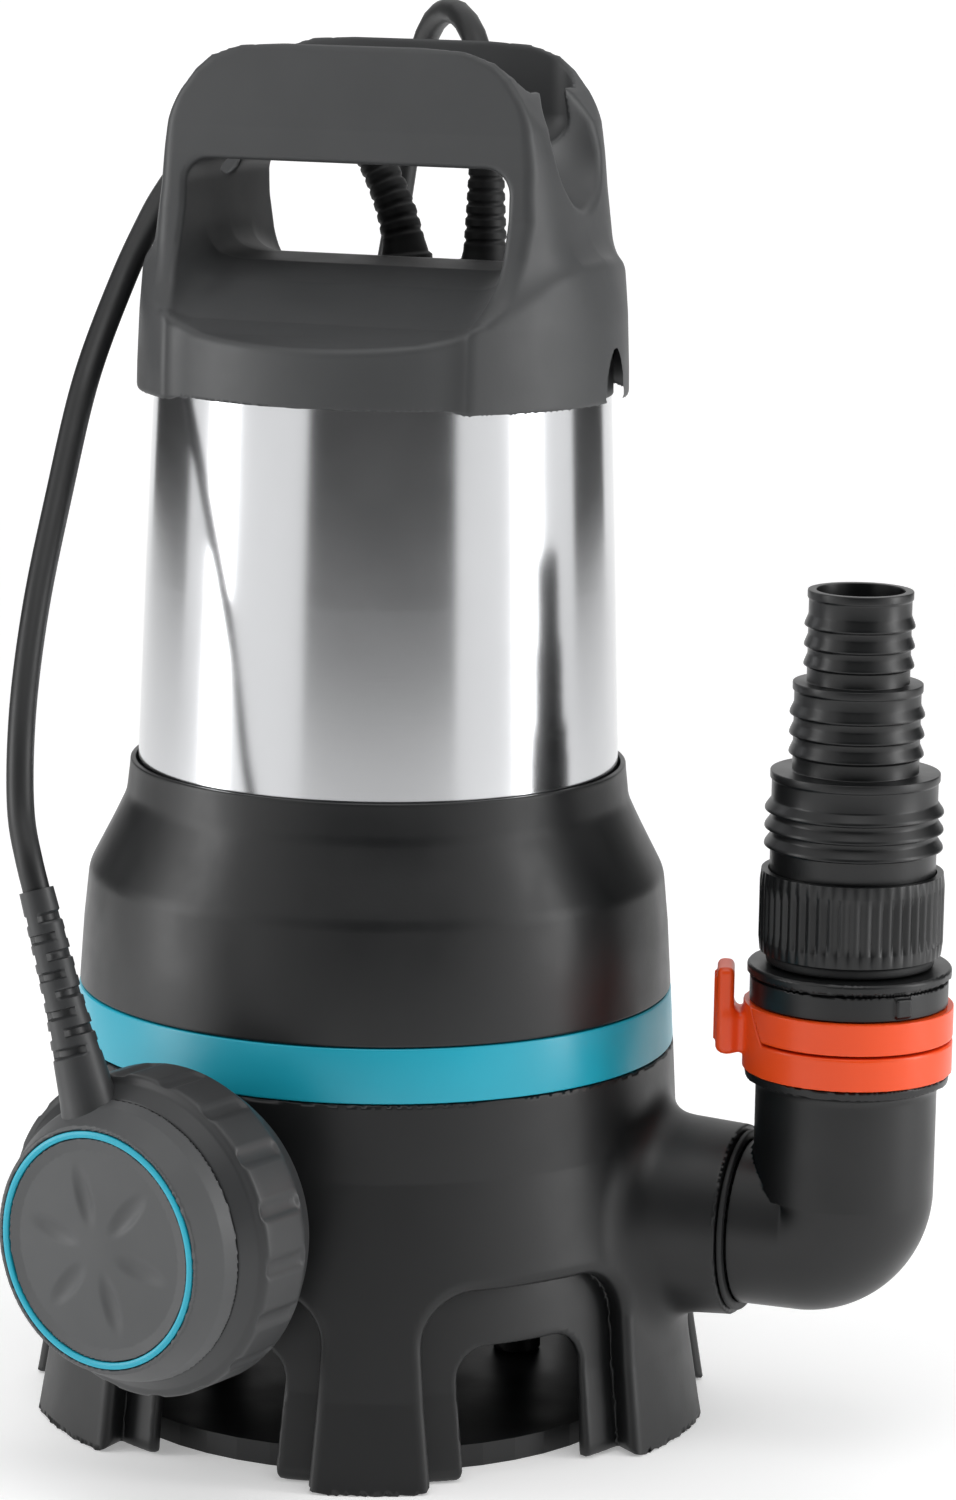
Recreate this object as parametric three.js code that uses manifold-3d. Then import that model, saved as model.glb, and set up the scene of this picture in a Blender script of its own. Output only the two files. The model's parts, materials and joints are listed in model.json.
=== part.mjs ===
// Submersible dirty-water sump pump with a float switch, a swivelling outlet elbow and a stepped hose nozzle.
// Millimetres, +Z up. The origin is the centre of the foot, on the ground, on the motor axis.
// +X is the way the outlet points, and the handle's window runs through along Y.
import * as THREE from "three";
import { mergeVertices } from "three/addons/utils/BufferGeometryUtils.js";
import Module from "manifold-3d";

const wasm = await Module();
wasm.setup();
const rad = THREE.MathUtils.degToRad;

// ---------------------------------------------------------------- driving dimensions

const GAP = 0.3; // left between any two pieces that touch
const OVER = 1; // how far a cutting body runs past the face it opens
const FACETS = { large: 48, medium: 24, small: 16, fine: 8 };

// Lower casing: the flared black shell with its arched intake ports and the outlet stub.
const casing = {
  footRadius: 98.6,
  flareRadius: 94.6,
  flareHeight: 25,
  waistRadius: 87.4,
  waistHeight: 85,
  topRadius: 86,
  height: 106.9,
  wall: 4,
  drumRadius: 62,
  drumFloor: 40,
  floorThickness: 4,
  chamberRadius: 57,
  chamberTop: 84,
  eyeRadius: 21,
  deckThickness: 3,
};

// Intake ports: angle of each port's centre from +X, and the half width of its recess and of its opening.
const port = {
  wide: { recess: 19, opening: 12.6 },
  narrow: { recess: 8.5, opening: 4.6 },
  height: 36.5,
  recessHeight: 54,
  recessDepth: 8,
  cornerShare: 0.35,
};
const frontLeg = -69;
const ports = [
  { angle: frontLeg + 29.7, kind: port.wide },
  { angle: frontLeg - 29.7, kind: port.wide },
  { angle: frontLeg + 85.5, kind: port.narrow },
  { angle: frontLeg - 85.5, kind: port.narrow },
  { angle: frontLeg + 150.3, kind: port.wide },
  { angle: frontLeg - 150.3, kind: port.wide },
];

const foot = { radius: 77.6, thickness: 4, rimHeight: 6.5, rimWidth: 2.5 };
const footColumn = { radius: 7, ring: 50, count: 3, firstAngle: 51 };
const footScrew = { radius: 2, headRadius: 3.9, headHeight: 2, length: 22, sink: 0.5 };

const band = { height: 15.2, topRadius: 85, thickness: 3.6 };

const shoulder = {
  bulgeRadius: 82.2,
  bulgeHeight: 156,
  neckRadius: 71.7,
  neckHeight: 177,
  collarRadius: 70.6,
  top: 187.4,
  wall: 3.6,
  ledge: 2.4,
};

// Polished tube: slightly conical, seated in the shoulder at its foot and in the cap at its top.
const tube = { footRadius: 68.4, topRadius: 64.5, wall: 1.2, seatDepth: 9, capDepth: 10 };

// Handle cap: platform, two side legs and a two-walled grip with a trough between the walls.
const cap = {
  bottom: 294,
  radius: 66.6,
  shoulderRadius: 62.6,
  shoulderHeight: 350,
  crownRadius: 60,
  top: 391,
  cornerStart: 345,
  cornerHalf: 59.5,
  crownHalf: 20,
  edgeHeight: 309,
  dome: [
    [66, 309.6],
    [58, 311.5],
    [45, 317.5],
    [30, 324.5],
    [15, 328.5],
    [0, 329.5],
  ],
  cavityTop: 306,
  cavityRadius: 58,
  skirtWall: 2,
};
const grip = {
  wallTop: 21,
  wallMiddle: 28,
  wallMiddleHeight: 358,
  legFlare: 38,
  legFlareHeight: 333,
  windowHalf: 48,
  windowFootHalf: 40,
  windowFoot: 306,
  windowWaist: 345,
  windowTop: 356,
  windowCorner: 9,
  troughHalf: 14.5,
  troughFloor: 364,
  troughCorner: 9,
  spoonRadius: 13.8,
};
const glandSeat = { radius: 8.4, top: 323.2, y: 42, powerX: 14.7, floatX: -9.7 };

// Outlet: stub on the casing, loose ring, elbow, quick coupling and stepped nozzle.
const outlet = {
  axisHeight: 63,
  rootRadius: 28,
  endRadius: 26.9,
  end: 111.6,
  socketRadius: 22.6,
  socketDepth: 16,
  boreRadius: 18.5,
  filletRadius: 32,
  filletLength: 5,
};
const outletRing = { radius: 25.6, thickness: 1.6, boreRadius: 23 };
const elbow = {
  spigotRadius: 22.2,
  inletRadius: 23.3,
  outletRadius: 25.3,
  boreRadius: 18.5,
  bendRadius: 12,
  axisDistance: 141,
  lipHeight: 108,
  lipThickness: 2.2,
  lipRadius: 28.6,
  neckRadius: 24.4,
  top: 129.2,
};
const lockRing = { radius: 29.2, thickness: 4.2, height: 18.8, splitHeight: 8.8, splitAngle: 300, splitStart: -135 };
const lever = { reach: 8, width: 11, height: 25, lift: 3.8, angle: 197, corner: 3, ribs: 3, ribDepth: 0.8 };
const collar = {
  height: 10.6,
  bodyRadius: 27.6,
  flangeRadius: 28.4,
  flangeThickness: 2.6,
  grooveDepth: 1.2,
  grooveHeight: 0.9,
  neckRadius: 20.4,
  neckHeight: 17,
  tabWidth: 5,
  tabReach: 1.2,
  tabAngle: -42,
};
const gasket = { radius: 23.4, thickness: 3, boreRadius: 20.8 };
const nut = { radius: 25.7, height: 23, plainRim: 3.4, ribs: 32, ribDepth: 0.7 };
const nozzle = {
  boreWall: 2,
  skirtRadius: 23,
  skirtTop: 170,
  steps: [
    { body: 23, barb: 24.8, top: 194.6, barbs: [173, 178, 183], rim: 23.4 },
    { body: 17.5, barb: 18.6, top: 219.4, barbs: [199, 204.4, 210], rim: 17.9 },
    { body: 14.2, barb: 15.2, top: 245, barbs: [223.6, 229, 234.6], rim: 14.5 },
  ],
  barbRise: 3.4,
  rimHeight: 2.2,
};

// Motor and hydraulics inside.
const shaft = { radius: 6, bottom: 47, top: 287 };
const rotor = { radius: 30, bottom: 192, top: 260 };
const stator = { radius: 57, airGap: 0.6, bottom: 191, top: 261, slots: 12 };
const winding = { innerRadius: 35, outerRadius: 53, height: 11, corner: 3 };
const bearing = { radius: 15, height: 9 };
const upperShield = { radius: 61.5, bottom: 275, thickness: 5, hubRadius: 20, hubHeight: 12 };
const lowerShield = { radius: 80, bottom: 107.6, thickness: 6, hubRadius: 22, hubHeight: 24 };
const oilCover = { radius: 80, thickness: 5, wall: 4, hubRadius: 20, hubHeight: 16 };
const staticSeal = { radius: 12, height: 5 };
const turningSeal = { radius: 11, height: 6 };
const impeller = { radius: 45, bottom: 53, top: 76, plate: 3.5, hubRadius: 11, vanes: 5, vaneThickness: 4, sweep: 55 };
const impellerNut = { flats: 15, height: 5 };
const tieBolt = { radius: 2, headRadius: 3.6, headHeight: 3.4, ring: 59.9, count: 3, firstAngle: 30 };
const coverScrew = { radius: 2, headRadius: 3.6, headHeight: 3, ring: 70, count: 3, firstAngle: 90, sink: 1 };
const capacitor = { radius: 8, length: 46, offset: 24, height: 296.8 };
const terminalBlock = { length: 34, width: 16, height: 12, offset: -24, bottom: 290.4 };
const sealRing = { section: 1.3 };

// Float switch: a puck that hangs at the front on its own cable.
const float = {
  centre: new THREE.Vector3(-18.7, -114.3, 75.5),
  facing: new THREE.Vector3(-0.259, -0.966, 0),
  reliefLean: 18.2,
  rimRadius: 44.4,
  shoulderRadius: 42,
  partingRadius: 38.6,
  partingHeight: 13.2,
  rimFront: 8,
  rimBack: -8,
  backRadius: 36,
  back: -21,
  faceRadius: 30,
  front: 25.4,
  frontRadius: 33.6,
  wall: 2.2,
  notches: 12,
  notchDepth: 1.1,
  notchWidth: 5,
};
const floatRing = { innerRadius: 30.4, outerRadius: 32.4, depth: 1.4 };
const relief = { rootRadius: 8.6, coneRadius: 5.4, tipRadius: 4.6, coneEnd: 65, end: 97, plane: 13.9, ribs: 6 };
const floatSwitch = { length: 20, width: 10, height: 12, offset: 17, lift: -6 };
const floatBall = { radius: 8, offset: -17, lift: -4, travel: 12 };

// Cables. The routes are laid by hand, and the coil holds the rest of the mains lead.
const cable = { radius: 3.7, sides: 8, taper: 5.2, tip: 0.4 };
const sleeve = { rootRadius: 6.4, radius: 5.6, tipRadius: 4.9, footRadius: 8, footHeight: 3 };
const powerExit = new THREE.Vector3(glandSeat.powerX, glandSeat.y, glandSeat.top + GAP);
const powerSleeveTop = new THREE.Vector3(14.7, 42.6, 357);
const floatExit = new THREE.Vector3(glandSeat.floatX, glandSeat.y, glandSeat.top + GAP);
// The lead reaches the floor just outside the foot, and the coil lies beyond it on the same bearing.
const leadBearing = 111;
const leadEnd = new THREE.Vector2(1, 0)
  .rotateAround(new THREE.Vector2(), rad(leadBearing))
  .multiplyScalar(casing.footRadius + 9.9);
const lowerLead = [
  [-32.1, -12.8, 125],
  [-40.1, -15.8, 85],
  [-44.1, -17.3, 58],
  [-42.6, -16.7, 34],
  [-35.1, -13.8, 16],
  [-22.1, -8.8, 7],
  [-8.1, -3.4, 5.5],
  [0, 0, 5.5],
];
const powerRoute = [
  [14.7, 42.6, 357.4],
  [14.6, 42.7, 366],
  [11.9, 46, 380],
  [4.3, 55.2, 391.6],
  [-6.2, 67.8, 396],
  [-16.6, 80.4, 391.6],
  [-24.2, 89.6, 379.7],
  [-27.6, 92.6, 363],
  [-30.6, 93, 342],
  [-38, 93.5, 300],
  [-49, 93, 240],
  [-60, 91.5, 180],
  ...lowerLead.map(([x, y, z]) => [leadEnd.x + x, leadEnd.y + y, z]),
];
const floatSleeveRoute = [
  [-9.7, 42, 325],
  [-10.9, 42.4, 332],
  [-14, 43.5, 341],
  [-20, 45.5, 352],
  [-27, 48, 361],
];
const floatFixedRoute = [
  [-27.9, 48.4, 361.8],
  [-36, 50.6, 367.2],
  [-46, 49.5, 369],
  [-55.5, 42.5, 366],
  [-63, 31.5, 360],
  [-68, 19, 352.5],
  [-70.5, 6, 343],
];
const floatSwingRoute = [
  [-70.6, 5.3, 342.4],
  [-70.8, -7, 333.4],
  [-70.6, -21.5, 321.8],
  [-70.8, -45.4, 296.7],
  [-69.2, -67.3, 266.4],
  [-66.9, -87.8, 236.5],
  [-63.4, -103.6, 209],
  [-58.9, -113.6, 186],
];
const coil = { meanRadius: 60, width: 46, height: 38, clearance: 1.6, corner: 9, leadRoom: 4.5 };
const coilCentre = leadEnd.clone().multiplyScalar(1 + (coil.meanRadius + coil.width / 2 + coil.leadRoom) / leadEnd.length());
const tie = { width: 8, thickness: 1, gap: 1, clearBelow: 0.3, angle: 230 };
const plug = { radius: 18, bodyLength: 36, neckRadius: 7.5, neckLength: 20, turn: 184 };
const plugPin = { radius: 2.35, length: 19, spacing: 19 };
const tailRoute = [
  [54, -19.6, 43.9],
  [57.5, -3, 44.4],
  [55, 14, 46.4],
  [46, 29, 50.4],
  [33, 40, 54.6],
  [18, 45, 57.6],
  [3, 46, 58.6],
];

// ---------------------------------------------------------------- finishes

const finish = {
  capPlastic: { color: 0x4c4c4d, roughness: 0.55, metalness: 0 },
  housingPlastic: { color: 0x2c2d2e, roughness: 0.5, metalness: 0 },
  casingPlastic: { color: 0x232425, roughness: 0.55, metalness: 0 },
  accentPlastic: { color: 0x27a9ba, roughness: 0.45, metalness: 0 },
  orangePlastic: { color: 0xf05a1a, roughness: 0.4, metalness: 0 },
  polishedSteel: { color: 0xd5d6d8, roughness: 0.15, metalness: 1 },
  plainSteel: { color: 0x9b9da0, roughness: 0.35, metalness: 1 },
  castAluminium: { color: 0xa9abad, roughness: 0.45, metalness: 1 },
  laminatedSteel: { color: 0x6d7074, roughness: 0.5, metalness: 1 },
  copper: { color: 0xb4663a, roughness: 0.45, metalness: 1 },
  rubber: { color: 0x1b1b1c, roughness: 0.75, metalness: 0 },
  ceramic: { color: 0xd9d4c8, roughness: 0.4, metalness: 0 },
  floatPlastic: { color: 0x3f3f40, roughness: 0.5, metalness: 0 },
  whitePlastic: { color: 0xd8d8d4, roughness: 0.5, metalness: 0 },
};

// ---------------------------------------------------------------- helpers

const v2 = (x, y) => new THREE.Vector2(x, y);
const v3 = (p) => new THREE.Vector3(...p);

// A turned body: outline points are [radius, height], listed upwards on the outside.
function revolve(outline, facets = FACETS.medium) {
  const geometry = new THREE.LatheGeometry(outline.map(([r, z]) => v2(r, z)), facets);
  return geometry.rotateX(Math.PI / 2);
}

// A ring of rectangular section.
function ring(innerRadius, outerRadius, bottom, top, facets = FACETS.medium) {
  const outline = [
    [innerRadius, bottom],
    [outerRadius, bottom],
    [outerRadius, top],
    [innerRadius, top],
    [innerRadius, bottom],
  ];
  return revolve(outline, facets);
}

function disc(radius, bottom, top, facets = FACETS.medium) {
  return revolve([[0, bottom], [radius, bottom], [radius, top], [0, top]], facets);
}

function box(low, high) {
  const size = high.map((h, i) => h - low[i]);
  const middle = high.map((h, i) => (h + low[i]) / 2);
  return new THREE.BoxGeometry(...size).translate(...middle);
}

// A flat outline in the XY plane, pushed up along Z.
function slab(outline, bottom, top, curveSegments = 8) {
  const shape = outline instanceof THREE.Shape ? outline : new THREE.Shape(outline.map(([x, y]) => v2(x, y)));
  const options = { depth: top - bottom, bevelEnabled: false, curveSegments };
  return new THREE.ExtrudeGeometry(shape, options).translate(0, 0, bottom);
}

// An outline given as [x, z], pushed through along Y from -depth to +depth.
function slabAlongY(shape, depth, curveSegments = 8) {
  return slab(shape, -depth, depth, curveSegments).rotateX(Math.PI / 2);
}

// An outline given as [y, z], pushed through along X from -depth to +depth.
function slabAlongX(shape, depth, curveSegments = 8) {
  return slab(shape, -depth, depth, curveSegments).rotateX(Math.PI / 2).rotateZ(Math.PI / 2);
}

function tubeAlong(points, radius, sides, steps) {
  const path = new THREE.CatmullRomCurve3(points.map(v3), false, "centripetal");
  const section = new THREE.Shape();
  for (let i = 0; i < sides; i += 1) {
    const turn = (2 * Math.PI * i) / sides;
    const corner = [radius * Math.cos(turn), radius * Math.sin(turn)];
    if (i === 0) section.moveTo(...corner);
    else section.lineTo(...corner);
  }
  return new THREE.ExtrudeGeometry(section, { extrudePath: path, steps, curveSegments: 1, bevelEnabled: false });
}

// The steps that suit a cable: one every two and a half diameters or so.
function cableSteps(points) {
  const path = new THREE.CatmullRomCurve3(points.map(v3), false, "centripetal");
  return Math.max(6, Math.round(path.getLength() / (cable.radius * 5)));
}

function solid(geometry) {
  const plain = geometry.clone();
  plain.deleteAttribute("normal");
  plain.deleteAttribute("uv");
  const merged = mergeVertices(plain, 1e-4);
  const vertProperties = new Float32Array(merged.attributes.position.array);
  const triVerts = new Uint32Array(merged.index.array);
  return new wasm.Manifold(new wasm.Mesh({ numProp: 3, vertProperties, triVerts }));
}

function geometryOf(shape) {
  if (shape.isBufferGeometry) return shape;
  const made = shape.getMesh();
  const positions = new Float32Array(made.numVert * 3);
  for (let i = 0; i < made.numVert; i += 1) {
    const start = i * made.numProp;
    positions.set(made.vertProperties.subarray(start, start + 3), i * 3);
  }
  const geometry = new THREE.BufferGeometry();
  geometry.setAttribute("position", new THREE.BufferAttribute(positions, 3));
  geometry.setIndex(new THREE.BufferAttribute(new Uint32Array(made.triVerts), 1));
  geometry.computeVertexNormals();
  return geometry;
}

function join(...geometries) {
  const [first, ...rest] = geometries.map((g) => (g.isBufferGeometry ? solid(g) : g));
  return rest.reduce((whole, piece) => whole.add(piece), first);
}

function cut(body, ...tools) {
  const start = body.isBufferGeometry ? solid(body) : body;
  return tools.reduce((left, tool) => left.subtract(tool.isBufferGeometry ? solid(tool) : tool), start);
}

function meet(a, b) {
  return join(a).intersect(join(b));
}

function piece(name, shape, look) {
  const mesh = new THREE.Mesh(geometryOf(shape), new THREE.MeshStandardMaterial(look));
  mesh.name = name;
  return mesh;
}

// Places a shape on a circle about the motor axis, at an angle from +X.
function around(geometry, ringRadius, angle) {
  return geometry.clone().translate(ringRadius, 0, 0).rotateZ(rad(angle));
}

function anglesOf(pattern) {
  return Array.from({ length: pattern.count }, (_, i) => pattern.firstAngle + (360 * i) / pattern.count);
}

// ---------------------------------------------------------------- heights that follow from the sizes

const bandBottom = casing.height + GAP;
const bandTop = bandBottom + band.height;
const shoulderBottom = bandTop + GAP;
const tubeBottom = shoulder.top - tube.seatDepth;
const tubeTop = cap.bottom + tube.capDepth;
const ringStart = outlet.end + GAP;
const elbowStart = ringStart + outletRing.thickness + GAP;
const lockBottom = elbow.lipHeight + elbow.lipThickness + GAP;
const lockTop = lockBottom + lockRing.height;
const collarBottom = Math.max(elbow.top, lockTop) + GAP;
const collarTop = collarBottom + collar.height;
const gasketBottom = collarTop + GAP;
const gasketTop = gasketBottom + gasket.thickness;
const nutBottom = gasketTop + GAP;
const nutTop = nutBottom + nut.height;
const coilTop = coil.clearance + coil.height;

function tubeRadiusAt(height) {
  const share = (height - shoulder.top) / (cap.bottom - shoulder.top);
  return THREE.MathUtils.lerp(tube.footRadius, tube.topRadius, share);
}

function casingRadiusAt(height) {
  const profile = casingProfile();
  for (let i = 1; i < profile.length; i += 1) {
    const [r0, z0] = profile[i - 1];
    const [r1, z1] = profile[i];
    if (height <= z1) return THREE.MathUtils.mapLinear(height, z0, z1, r0, r1);
  }
  return casing.topRadius;
}

function casingProfile() {
  const kneeHeight = casing.flareHeight / 3;
  const kneeRadius = THREE.MathUtils.lerp(casing.footRadius, casing.flareRadius, 0.3);
  return [
    [casing.footRadius, 0],
    [kneeRadius, kneeHeight],
    [casing.flareRadius, casing.flareHeight],
    [casing.waistRadius, casing.waistHeight],
    [casing.topRadius, casing.height],
  ];
}

// ---------------------------------------------------------------- lower casing

// A port's outline from the front: upright sides and a rounded head. Widths are along the tangent.
function portOutline(halfWidth, height, headShare) {
  const corner = halfWidth * headShare * 2;
  const headHalf = halfWidth * 0.9;
  const shape = new THREE.Shape();
  shape.moveTo(-halfWidth, -OVER);
  shape.lineTo(halfWidth, -OVER);
  shape.lineTo(headHalf, height - corner);
  shape.quadraticCurveTo(headHalf * 0.96, height, headHalf - corner, height);
  shape.lineTo(corner - headHalf, height);
  shape.quadraticCurveTo(-headHalf * 0.96, height, -headHalf, height - corner);
  return shape;
}

// The outline pushed outwards through the wall, at the port's angle.
function portTool(halfAngle, height, fromRadius, angle) {
  const halfWidth = casing.footRadius * Math.sin(rad(halfAngle));
  const reach = casing.footRadius + OVER * 4 - fromRadius;
  const outline = portOutline(halfWidth, height, port.cornerShare);
  const tool = slab(outline, 0, reach, 4).rotateX(Math.PI / 2).rotateZ(Math.PI / 2);
  return tool.translate(fromRadius, 0, 0).rotateZ(rad(angle));
}

// The recess around each port is a set-back skin: the shell's own profile moved inwards.
function recessTool(halfAngle, height, angle) {
  const wedge = portTool(halfAngle, height, casing.drumRadius, angle);
  const kept = casingProfile().map(([r, z]) => [r - port.recessDepth, z]);
  const core = revolve([[0, -OVER * 2], [kept[0][0], -OVER * 2], ...kept, [0, casing.height]], FACETS.large);
  return cut(wedge, core);
}

function outletStub() {
  const start = casing.chamberRadius - OVER;
  const root = casingRadiusAt(outlet.axisHeight);
  const outline = [
    [0, start],
    [outlet.rootRadius, start],
    [outlet.filletRadius, root - OVER * 2],
    [outlet.rootRadius, root + outlet.filletLength],
    [outlet.endRadius, outlet.end],
    [0, outlet.end],
  ];
  return revolve(outline).rotateY(Math.PI / 2).translate(0, 0, outlet.axisHeight);
}

function outletBore() {
  const socketFloor = outlet.end - outlet.socketDepth;
  const outline = [
    [0, casing.chamberRadius - OVER * 8],
    [outlet.boreRadius, casing.chamberRadius - OVER * 8],
    [outlet.boreRadius, socketFloor],
    [outlet.socketRadius, socketFloor],
    [outlet.socketRadius, outlet.end + OVER],
    [0, outlet.end + OVER],
  ];
  return revolve(outline).rotateY(Math.PI / 2).translate(0, 0, outlet.axisHeight);
}

function pumpCasing() {
  const profile = casingProfile();
  const skin = revolve([[0, 0], ...profile, [0, casing.height]], FACETS.large);
  const inner = profile.map(([r, z]) => [r - casing.wall - port.recessDepth, z]);
  const hollowTop = casing.chamberTop - casing.floorThickness;
  const hollowOutline = [
    [0, -OVER],
    [inner[0][0], -OVER],
    [inner[2][0], inner[2][1]],
    [casingRadiusAt(hollowTop) - casing.wall, hollowTop],
    [0, hollowTop],
  ];
  const hollow = revolve(hollowOutline, FACETS.medium);
  const innerRoom = disc(casing.drumRadius + GAP, -OVER, hollowTop);
  const shell = join(cut(skin, hollow), cut(outletStub(), innerRoom));
  const deckTop = casing.chamberTop + casing.deckThickness;
  return cut(
    shell,
    disc(casing.chamberRadius, hollowTop - OVER, deckTop + OVER),
    disc(oilCover.radius + GAP, deckTop, casing.height + OVER, FACETS.large),
    outletBore(),
    ...ports.map((p) => recessTool(p.kind.recess, port.recessHeight, p.angle)),
    ...ports.map((p) => portTool(p.kind.opening, port.height, casing.drumRadius + OVER * 4, p.angle)),
  );
}

// The drum round the impeller, standing on three columns that take the foot's screws.
function voluteDrum() {
  const top = casing.chamberTop - casing.floorThickness - GAP;
  const chamberFloor = casing.drumFloor + casing.floorThickness;
  const columns = anglesOf(footColumn).map((angle) =>
    around(disc(footColumn.radius, foot.thickness + GAP, casing.drumFloor + OVER, FACETS.fine), footColumn.ring, angle),
  );
  const columnHoles = anglesOf(footColumn).map((angle) =>
    around(disc(footScrew.radius + GAP, 0, footScrew.length + OVER, FACETS.fine), footColumn.ring, angle),
  );
  return cut(
    join(disc(casing.drumRadius, casing.drumFloor, top), ...columns),
    disc(casing.chamberRadius, chamberFloor, top + OVER),
    disc(casing.eyeRadius, casing.drumFloor - OVER, chamberFloor + OVER),
    outletBore(),
    ...columnHoles,
  );
}

function footPlate() {
  const outline = [
    [0, 0],
    [foot.radius, 0],
    [foot.radius, foot.rimHeight],
    [foot.radius - foot.rimWidth, foot.rimHeight],
    [foot.radius - foot.rimWidth * 2, foot.thickness],
    [0, foot.thickness],
  ];
  const holes = anglesOf(footColumn).flatMap((angle) => [
    around(disc(footScrew.radius + GAP, -OVER, foot.thickness + OVER, FACETS.fine), footColumn.ring, angle),
    around(
      disc(footScrew.headRadius + GAP, -OVER, footScrew.sink + footScrew.headHeight + GAP, FACETS.fine),
      footColumn.ring,
      angle,
    ),
  ]);
  return cut(revolve(outline, FACETS.large), ...holes);
}

// A screw standing on its head, with its thread upwards from the given height.
function screwUp(size, bottom) {
  const outline = [
    [0, bottom],
    [size.headRadius, bottom],
    [size.headRadius, bottom + size.headHeight],
    [size.radius, bottom + size.headHeight],
    [size.radius, bottom + size.length],
    [0, bottom + size.length],
  ];
  return revolve(outline, FACETS.fine);
}

// ---------------------------------------------------------------- band, shoulder and tube

function accentBand() {
  const outline = [
    [casing.topRadius - band.thickness, bandBottom],
    [casing.topRadius - 0.1, bandBottom],
    [band.topRadius, bandTop],
    [casing.topRadius - band.thickness, bandTop],
    [casing.topRadius - band.thickness, bandBottom],
  ];
  return revolve(outline, FACETS.large);
}

function shoulderHousing() {
  const middle = (shoulder.bulgeHeight + shoulderBottom) / 2;
  const seatRadius = tubeRadiusAt(tubeBottom) + GAP;
  const outline = [
    [band.topRadius - shoulder.wall, shoulderBottom],
    [band.topRadius - 0.1, shoulderBottom],
    [(band.topRadius + shoulder.bulgeRadius) / 2 + 0.4, middle],
    [shoulder.bulgeRadius, shoulder.bulgeHeight - 1.5],
    [shoulder.bulgeRadius - 1.1, shoulder.bulgeHeight + 1.5],
    [shoulder.neckRadius + 1, shoulder.neckHeight - 1.5],
    [shoulder.neckRadius, shoulder.neckHeight + 1],
    [shoulder.collarRadius, shoulder.top - 1],
    [shoulder.collarRadius - 0.8, shoulder.top],
    [tubeRadiusAt(shoulder.top) + GAP, shoulder.top],
    [seatRadius, tubeBottom - GAP],
    [seatRadius - shoulder.ledge, tubeBottom - GAP],
    [seatRadius - shoulder.ledge, tubeBottom - GAP - shoulder.wall],
    [shoulder.bulgeRadius - shoulder.wall - 1, shoulder.bulgeHeight - 3],
    [band.topRadius - shoulder.wall, shoulderBottom],
  ];
  return revolve(outline, FACETS.large);
}

function motorTube() {
  const footRadius = tubeRadiusAt(tubeBottom);
  const topRadius = tubeRadiusAt(tubeTop);
  const outline = [
    [footRadius - tube.wall, tubeBottom],
    [footRadius, tubeBottom],
    [topRadius, tubeTop],
    [topRadius - tube.wall, tubeTop],
    [footRadius - tube.wall, tubeBottom],
  ];
  return revolve(outline, FACETS.large);
}

// ---------------------------------------------------------------- handle cap

function capOuter() {
  const turned = revolve(
    [
      [0, cap.bottom],
      [cap.radius - 1, cap.bottom],
      [cap.radius, cap.bottom + 2],
      [cap.shoulderRadius, cap.shoulderHeight],
      [cap.crownRadius, cap.top + OVER],
      [0, cap.top + OVER],
    ],
    FACETS.large,
  );
  const front = new THREE.Shape();
  front.moveTo(-cap.radius - OVER, cap.bottom - OVER);
  front.lineTo(cap.radius + OVER, cap.bottom - OVER);
  front.lineTo(cap.radius + OVER, cap.shoulderHeight - 20);
  front.lineTo(cap.cornerHalf, cap.cornerStart);
  front.bezierCurveTo(cap.cornerHalf - 2.5, cap.top - 19, cap.cornerHalf - 12, cap.top, cap.crownHalf, cap.top);
  front.lineTo(-cap.crownHalf, cap.top);
  front.bezierCurveTo(12 - cap.cornerHalf, cap.top, 2.5 - cap.cornerHalf, cap.top - 19, -cap.cornerHalf, cap.cornerStart);
  front.lineTo(-cap.radius - OVER, cap.shoulderHeight - 20);
  return meet(turned, slabAlongY(front, cap.radius + OVER * 4, 8));
}

// Side view of the whole cap: a domed platform that sweeps up into the two grip walls.
function capSideView() {
  const lowest = cap.bottom - OVER;
  const reach = cap.radius + OVER * 2;
  const half = [
    v2(-reach, cap.edgeHeight - 0.6),
    v2(-58, 312.4),
    v2(-47, 318.6),
    v2(-grip.legFlare, grip.legFlareHeight),
    v2(-33, 344.5),
    v2(-grip.wallMiddle, grip.wallMiddleHeight),
    v2(-24, 374),
    v2(-grip.wallTop, cap.top + OVER),
  ];
  const shape = new THREE.Shape();
  shape.moveTo(-reach, lowest);
  shape.lineTo(reach, lowest);
  shape.lineTo(reach, cap.edgeHeight - 0.6);
  const rear = half.map((p) => v2(-p.x, p.y));
  shape.splineThru(rear.slice(1));
  shape.lineTo(-grip.wallTop, cap.top + OVER);
  shape.splineThru(half.slice(0, -1).reverse());
  return shape;
}

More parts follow.
